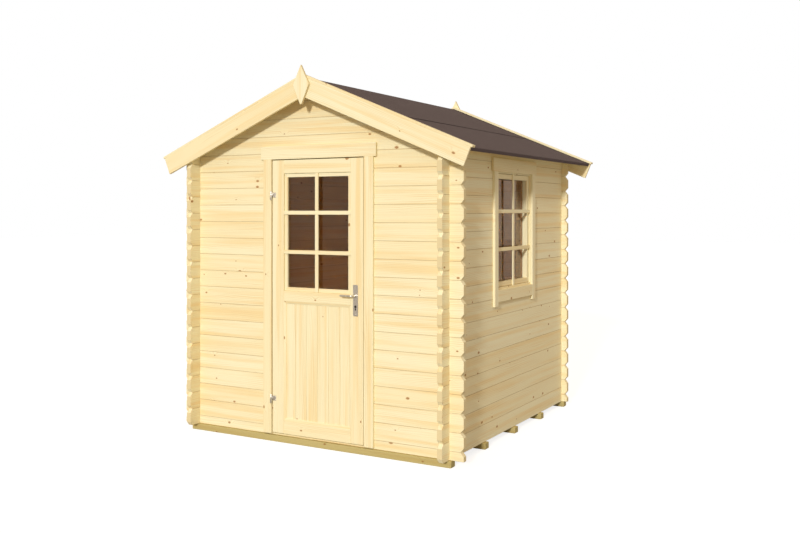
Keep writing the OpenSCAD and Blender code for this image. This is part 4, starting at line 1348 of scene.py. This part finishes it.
class GARDENHOUSE_OT_ironwork(bpy.types.Operator):
    """Build the hinges, the lock plates, the forend and the lever handle"""

    bl_idname = "garden_house.ironwork"
    bl_label = "Hinges and handle"

    def execute(self, context):
        steel = [finish_of("satin_steel")]
        edge_angle = math.radians(35)
        # The knuckles' axis lies one radius in from the right and the front of the pins' box
        pins_low, pins_high = box("hinge_pins")
        leaf_low, leaf_high = box("door_hinge_plates")
        r, tall, plate = KNUCKLE_RADIUS, HINGE_TALL, HINGE_PLATE_THICK
        half = tall / 2
        axis_x, axis_y = pins_high[0] - r, pins_low[1] + r
        leaf_edge = leaf_high[0] - HINGE_PLATE_WIDE
        leaf_front = leaf_high[1]
        lofts, plates = [], []
        for foot in (pins_low[2], leaf_high[2] - tall):
            centre = (axis_x, axis_y, foot)
            rows = [(0.5 * r, 0.0), (0.85 * r, 0.0006), (r, 0.002), (r, half - 0.0006), (0.9 * r, half - 0.0002)]
            lofts.append(lathe(rows, centre, Z, 1.0))
            corner = (axis_x, pins_high[1], foot + half - KNUCKLE_GAP)
            lofts.append(between((pins_low[0], pins_high[1] - plate, foot), corner, 2, 1.0, 0.0005))
            rows = [(0.9 * r, half + 0.0002), (r, half + 0.0006), (r, tall - 0.002), (0.85 * r, tall - 0.0006),
                    (0.5 * r, tall)]
            plates.append(lathe(rows, centre, Z, 2.0))
            plate_foot = foot + leaf_low[2] - pins_low[2]
            top = plate_foot + HINGE_PLATE_TALL
            neck = (axis_x, axis_y, foot + half + KNUCKLE_GAP)
            plates.append(between(neck, (leaf_edge + r, leaf_front, top), 2, 1.0, 0.0005))
            corner = (leaf_edge, leaf_front - plate, plate_foot)
            plates.append(between(corner, (leaf_high[0], leaf_front, top), 2, 1.0, 0.0005))
            for z in (plate_foot + SCREW_INSET, top - SCREW_INSET):
                plates.append(screw(leaf_high[0] - SCREW_INSET, leaf_front - plate, z, -Y))
        piece("hinge_barrels", lofts, steel, "root", ("hinge_pins",), edge_angle)
        piece("hinge_leaves", plates, steel, "door", ("door_hinge_plates",), edge_angle)
        low, high = box("door_lock_plates")
        thick = 0.003
        lofts = []
        for y_low, y_high, face in ((low[1], low[1] + thick, -Y), (high[1] - thick, high[1], Y)):
            corner = 0.006
            outline = rounded_sections(low[0], high[0], low[2], high[2], corner)[0]
            lofts.append(tablet(outline, y_low, y_high, 2.0, 0.0008))
            y = y_low if face[1] < 0 else y_high
            for z in (low[2] + 0.012, high[2] - 0.012):
                lofts.append(screw((low[0] + high[0]) / 2, y, z, face))
        piece("lock_plate_pair", lofts, steel, "door", ("door_lock_plates",), edge_angle)
        middle = (low[0] + high[0]) / 2
        # Keyholes: thin dark sheets on both lock plates, painted shade of a hole that is not cut
        key_z = (low[2] + high[2]) / 2 - 0.039
        lofts = []
        for y, face in ((low[1] - 0.0002, -Y), (high[1] + 0.0002, Y)):
            angle = np.linspace(-0.38 * math.pi, 1.38 * math.pi, 25)
            bow = np.stack([0.0085 * np.cos(angle), 0.0085 * np.sin(angle)], 1)
            outline = np.concatenate([bow, [[-0.005, -0.021], [-0.003, -0.024], [0.003, -0.024], [0.005, -0.021]]])
            outline = outline + (middle, key_z)
            lofts.append(tablet(outline, min(y, y - 0.0002 * face[1]) - 0.0002, y + 0.0002, 5.0, 0.0001))
        piece("keyholes", lofts, [finish_of("keyhole_painted_shade")], "door", (), None)
        lofts = [between(*box("door_forend"), 2, 3.0, 0.0005)]
        piece("forend", lofts, steel, "door", ("door_forend",), edge_angle)
        # The handle is the same on both faces of the leaf, on one spindle
        low, high = box("door_lever")
        plates_low, plates_high = box("door_lock_plates")
        pivot_x, pivot_z = middle, (low[2] + high[2]) / 2
        radius = (high[2] - low[2]) / 2
        bend = LEVER_BEND
        turn = np.linspace(0, math.pi / 2, 12)[1:]
        end = low[0] + 0.003
        collar = [(radius, 0.0), (radius, 0.006), (0.9 * radius, 0.0068), (0.6 * radius, 0.007)]
        lofts = []
        for plate_y, far_y, face in ((plates_low[1], low[1], -Y), (plates_high[1], high[1], Y)):
            away = face[1]
            out = far_y - away * (LEVER_RADIUS + 0.0002)
            neck_end = out - away * bend
            path = [(pivot_x, plate_y - away * 0.001), (pivot_x, plate_y + away * 0.006), (pivot_x, neck_end)]
            path += [(pivot_x - bend + bend * math.cos(a), neck_end + away * bend * math.sin(a)) for a in turn]
            path += [(x, out) for x in np.linspace(pivot_x - bend - 0.006, end, 10)]
            path += [(end - 0.0018, out), (low[0] + 0.0002, out)]
            path = np.array([(x, y, pivot_z) for x, y in path])
            radii = np.full(len(path), LEVER_RADIUS)
            radii[-2:] = (0.0052, 0.0022)
            lofts += [swept(path, radii), lathe(collar, (pivot_x, plate_y, pivot_z), face, 1.0)]
        rows = [(SPINDLE_RADIUS, 0.0), (SPINDLE_RADIUS, plates_high[1] - plates_low[1])]
        lofts.append(lathe(rows, (pivot_x, plates_low[1], pivot_z), Y, 1.0))
        piece("lever_handle", lofts, steel, "lever", ("door_lever",), math.radians(50))
        return {"FINISHED"}


# ---------------------------------------------------------------- stage


class GARDENHOUSE_OT_stage(bpy.types.Operator):
    """Set up a pale floor, soft studio light and the camera"""

    bl_idname = "garden_house.stage"
    bl_label = "Studio stage"

    def execute(self, context):
        scene = context.scene
        scene.view_settings.view_transform = "Standard"
        mesh = bpy.data.meshes.new("studio_floor")
        r = 40.0
        mesh.from_pydata([(-r, -r, 0), (r, -r, 0), (r, r, 0), (-r, r, 0)], [], [(0, 1, 2, 3)])
        ground = bpy.data.objects.new("studio_floor", mesh)
        scene.collection.objects.link(ground)
        material, tree, shader = new_material("studio_floor")
        shader.inputs["Base Color"].default_value = (0.40, 0.40, 0.40, 1.0)
        shader.inputs["Roughness"].default_value = 1.0
        shader.inputs["Specular IOR Level"].default_value = 0.0
        path = tree.nodes.new("ShaderNodeLightPath")
        seen = maths(tree, "MAXIMUM", path.outputs["Is Camera Ray"], path.outputs["Is Transmission Ray"])
        shader.inputs["Emission Color"].default_value = (1.0, 1.0, 1.0, 1.0)
        tree.links.new(maths(tree, "MULTIPLY", seen, FLOOR_GLOW), shader.inputs["Emission Strength"])
        mesh.materials.append(material)
        lamp = bpy.data.lights.new("studio_key", "SUN")
        lamp.energy = KEY_STRENGTH
        lamp.angle = math.radians(5.0)
        lamp.color = (1.0, 0.985, 0.95)
        key = bpy.data.objects.new("studio_key", lamp)
        toward = -np.array(KEY_TRAVEL)
        toward = toward / np.linalg.norm(toward)
        key.rotation_euler = (math.acos(toward[2]), 0.0, math.atan2(toward[1], toward[0]) + math.pi / 2)
        scene.collection.objects.link(key)
        world = bpy.data.worlds.new("studio_world")
        world.use_nodes = True
        scene.world = world
        tree = world.node_tree
        tree.nodes.clear()
        fill = add(tree, "ShaderNodeBackground", Color=(1.0, 0.83, 0.65, 1.0), Strength=FILL_STRENGTH)
        white = add(tree, "ShaderNodeBackground", Color=(1.0, 1.0, 1.0, 1.0), Strength=1.0)
        path = tree.nodes.new("ShaderNodeLightPath")
        seen = maths(tree, "MAXIMUM", path.outputs["Is Camera Ray"], path.outputs["Is Transmission Ray"])
        mix = tree.nodes.new("ShaderNodeMixShader")
        tree.links.new(seen, mix.inputs[0])
        tree.links.new(fill.outputs[0], mix.inputs[1])
        tree.links.new(white.outputs[0], mix.inputs[2])
        tree.links.new(mix.outputs[0], add(tree, "ShaderNodeOutputWorld").inputs[0])
        camera = bpy.data.objects.new("camera", bpy.data.cameras.new("camera"))
        camera.location = CAMERA_PLACE
        camera.rotation_euler = (math.pi / 2, 0.0, CAMERA_TURN)
        camera.data.sensor_width = 36.0
        camera.data.lens = CAMERA_LENS
        camera.data.shift_y = CAMERA_SHIFT
        camera.data.clip_end = 200.0
        scene.collection.objects.link(camera)
        scene.camera = camera
        return {"FINISHED"}


CAMERA_PLACE = (3.4629, -5.9252, 1.5397)
CAMERA_TURN = math.radians(29.66)
CAMERA_LENS = 41.217
CAMERA_SHIFT = -0.0694
KEY_TRAVEL = (-27.0, 130.0, -42.0)
KEY_STRENGTH = 1.98
FILL_STRENGTH = 0.68
FLOOR_GLOW = 0.80


# ---------------------------------------------------------------- panel and run

STEPS = (
    GARDENHOUSE_OT_stage,
    GARDENHOUSE_OT_log_walls,
    GARDENHOUSE_OT_base,
    GARDENHOUSE_OT_roof_boards,
    GARDENHOUSE_OT_felt,
    GARDENHOUSE_OT_verges,
    GARDENHOUSE_OT_door_frame,
    GARDENHOUSE_OT_window,
    GARDENHOUSE_OT_door_leaf,
    GARDENHOUSE_OT_ironwork,
)


class GARDENHOUSE_PT_panel(bpy.types.Panel):
    """Sidebar panel with the sizes, the colours and a button for each group of pieces"""

    bl_idname = "GARDENHOUSE_PT_panel"
    bl_label = "Garden House"
    bl_space_type = "VIEW_3D"
    bl_region_type = "UI"
    bl_category = "Garden House"

    def draw(self, context):
        for settings in (context.scene.garden_house_sizes, context.scene.garden_house_colours):
            column = self.layout.column(align=True)
            for name in settings.__annotations__:
                column.prop(settings, name)
        for step in STEPS:
            self.layout.operator(step.bl_idname)


CLASSES = (GardenHouseSizes, GardenHouseColours, *STEPS, GARDENHOUSE_PT_panel)


def register():
    """Registers the classes and hangs the settings on the scene."""
    for cls in CLASSES:
        bpy.utils.register_class(cls)
    bpy.types.Scene.garden_house_sizes = PointerProperty(type=GardenHouseSizes)
    bpy.types.Scene.garden_house_colours = PointerProperty(type=GardenHouseColours)


def unregister():
    """Takes the settings off the scene and unregisters the classes."""
    del bpy.types.Scene.garden_house_colours
    del bpy.types.Scene.garden_house_sizes
    for cls in reversed(CLASSES):
        bpy.utils.unregister_class(cls)


def main():
    """Registers and builds every group in order."""
    register()
    for step in STEPS:
        group, name = step.bl_idname.split(".")
        getattr(getattr(bpy.ops, group), name)()


if __name__ == "__main__":
    main()
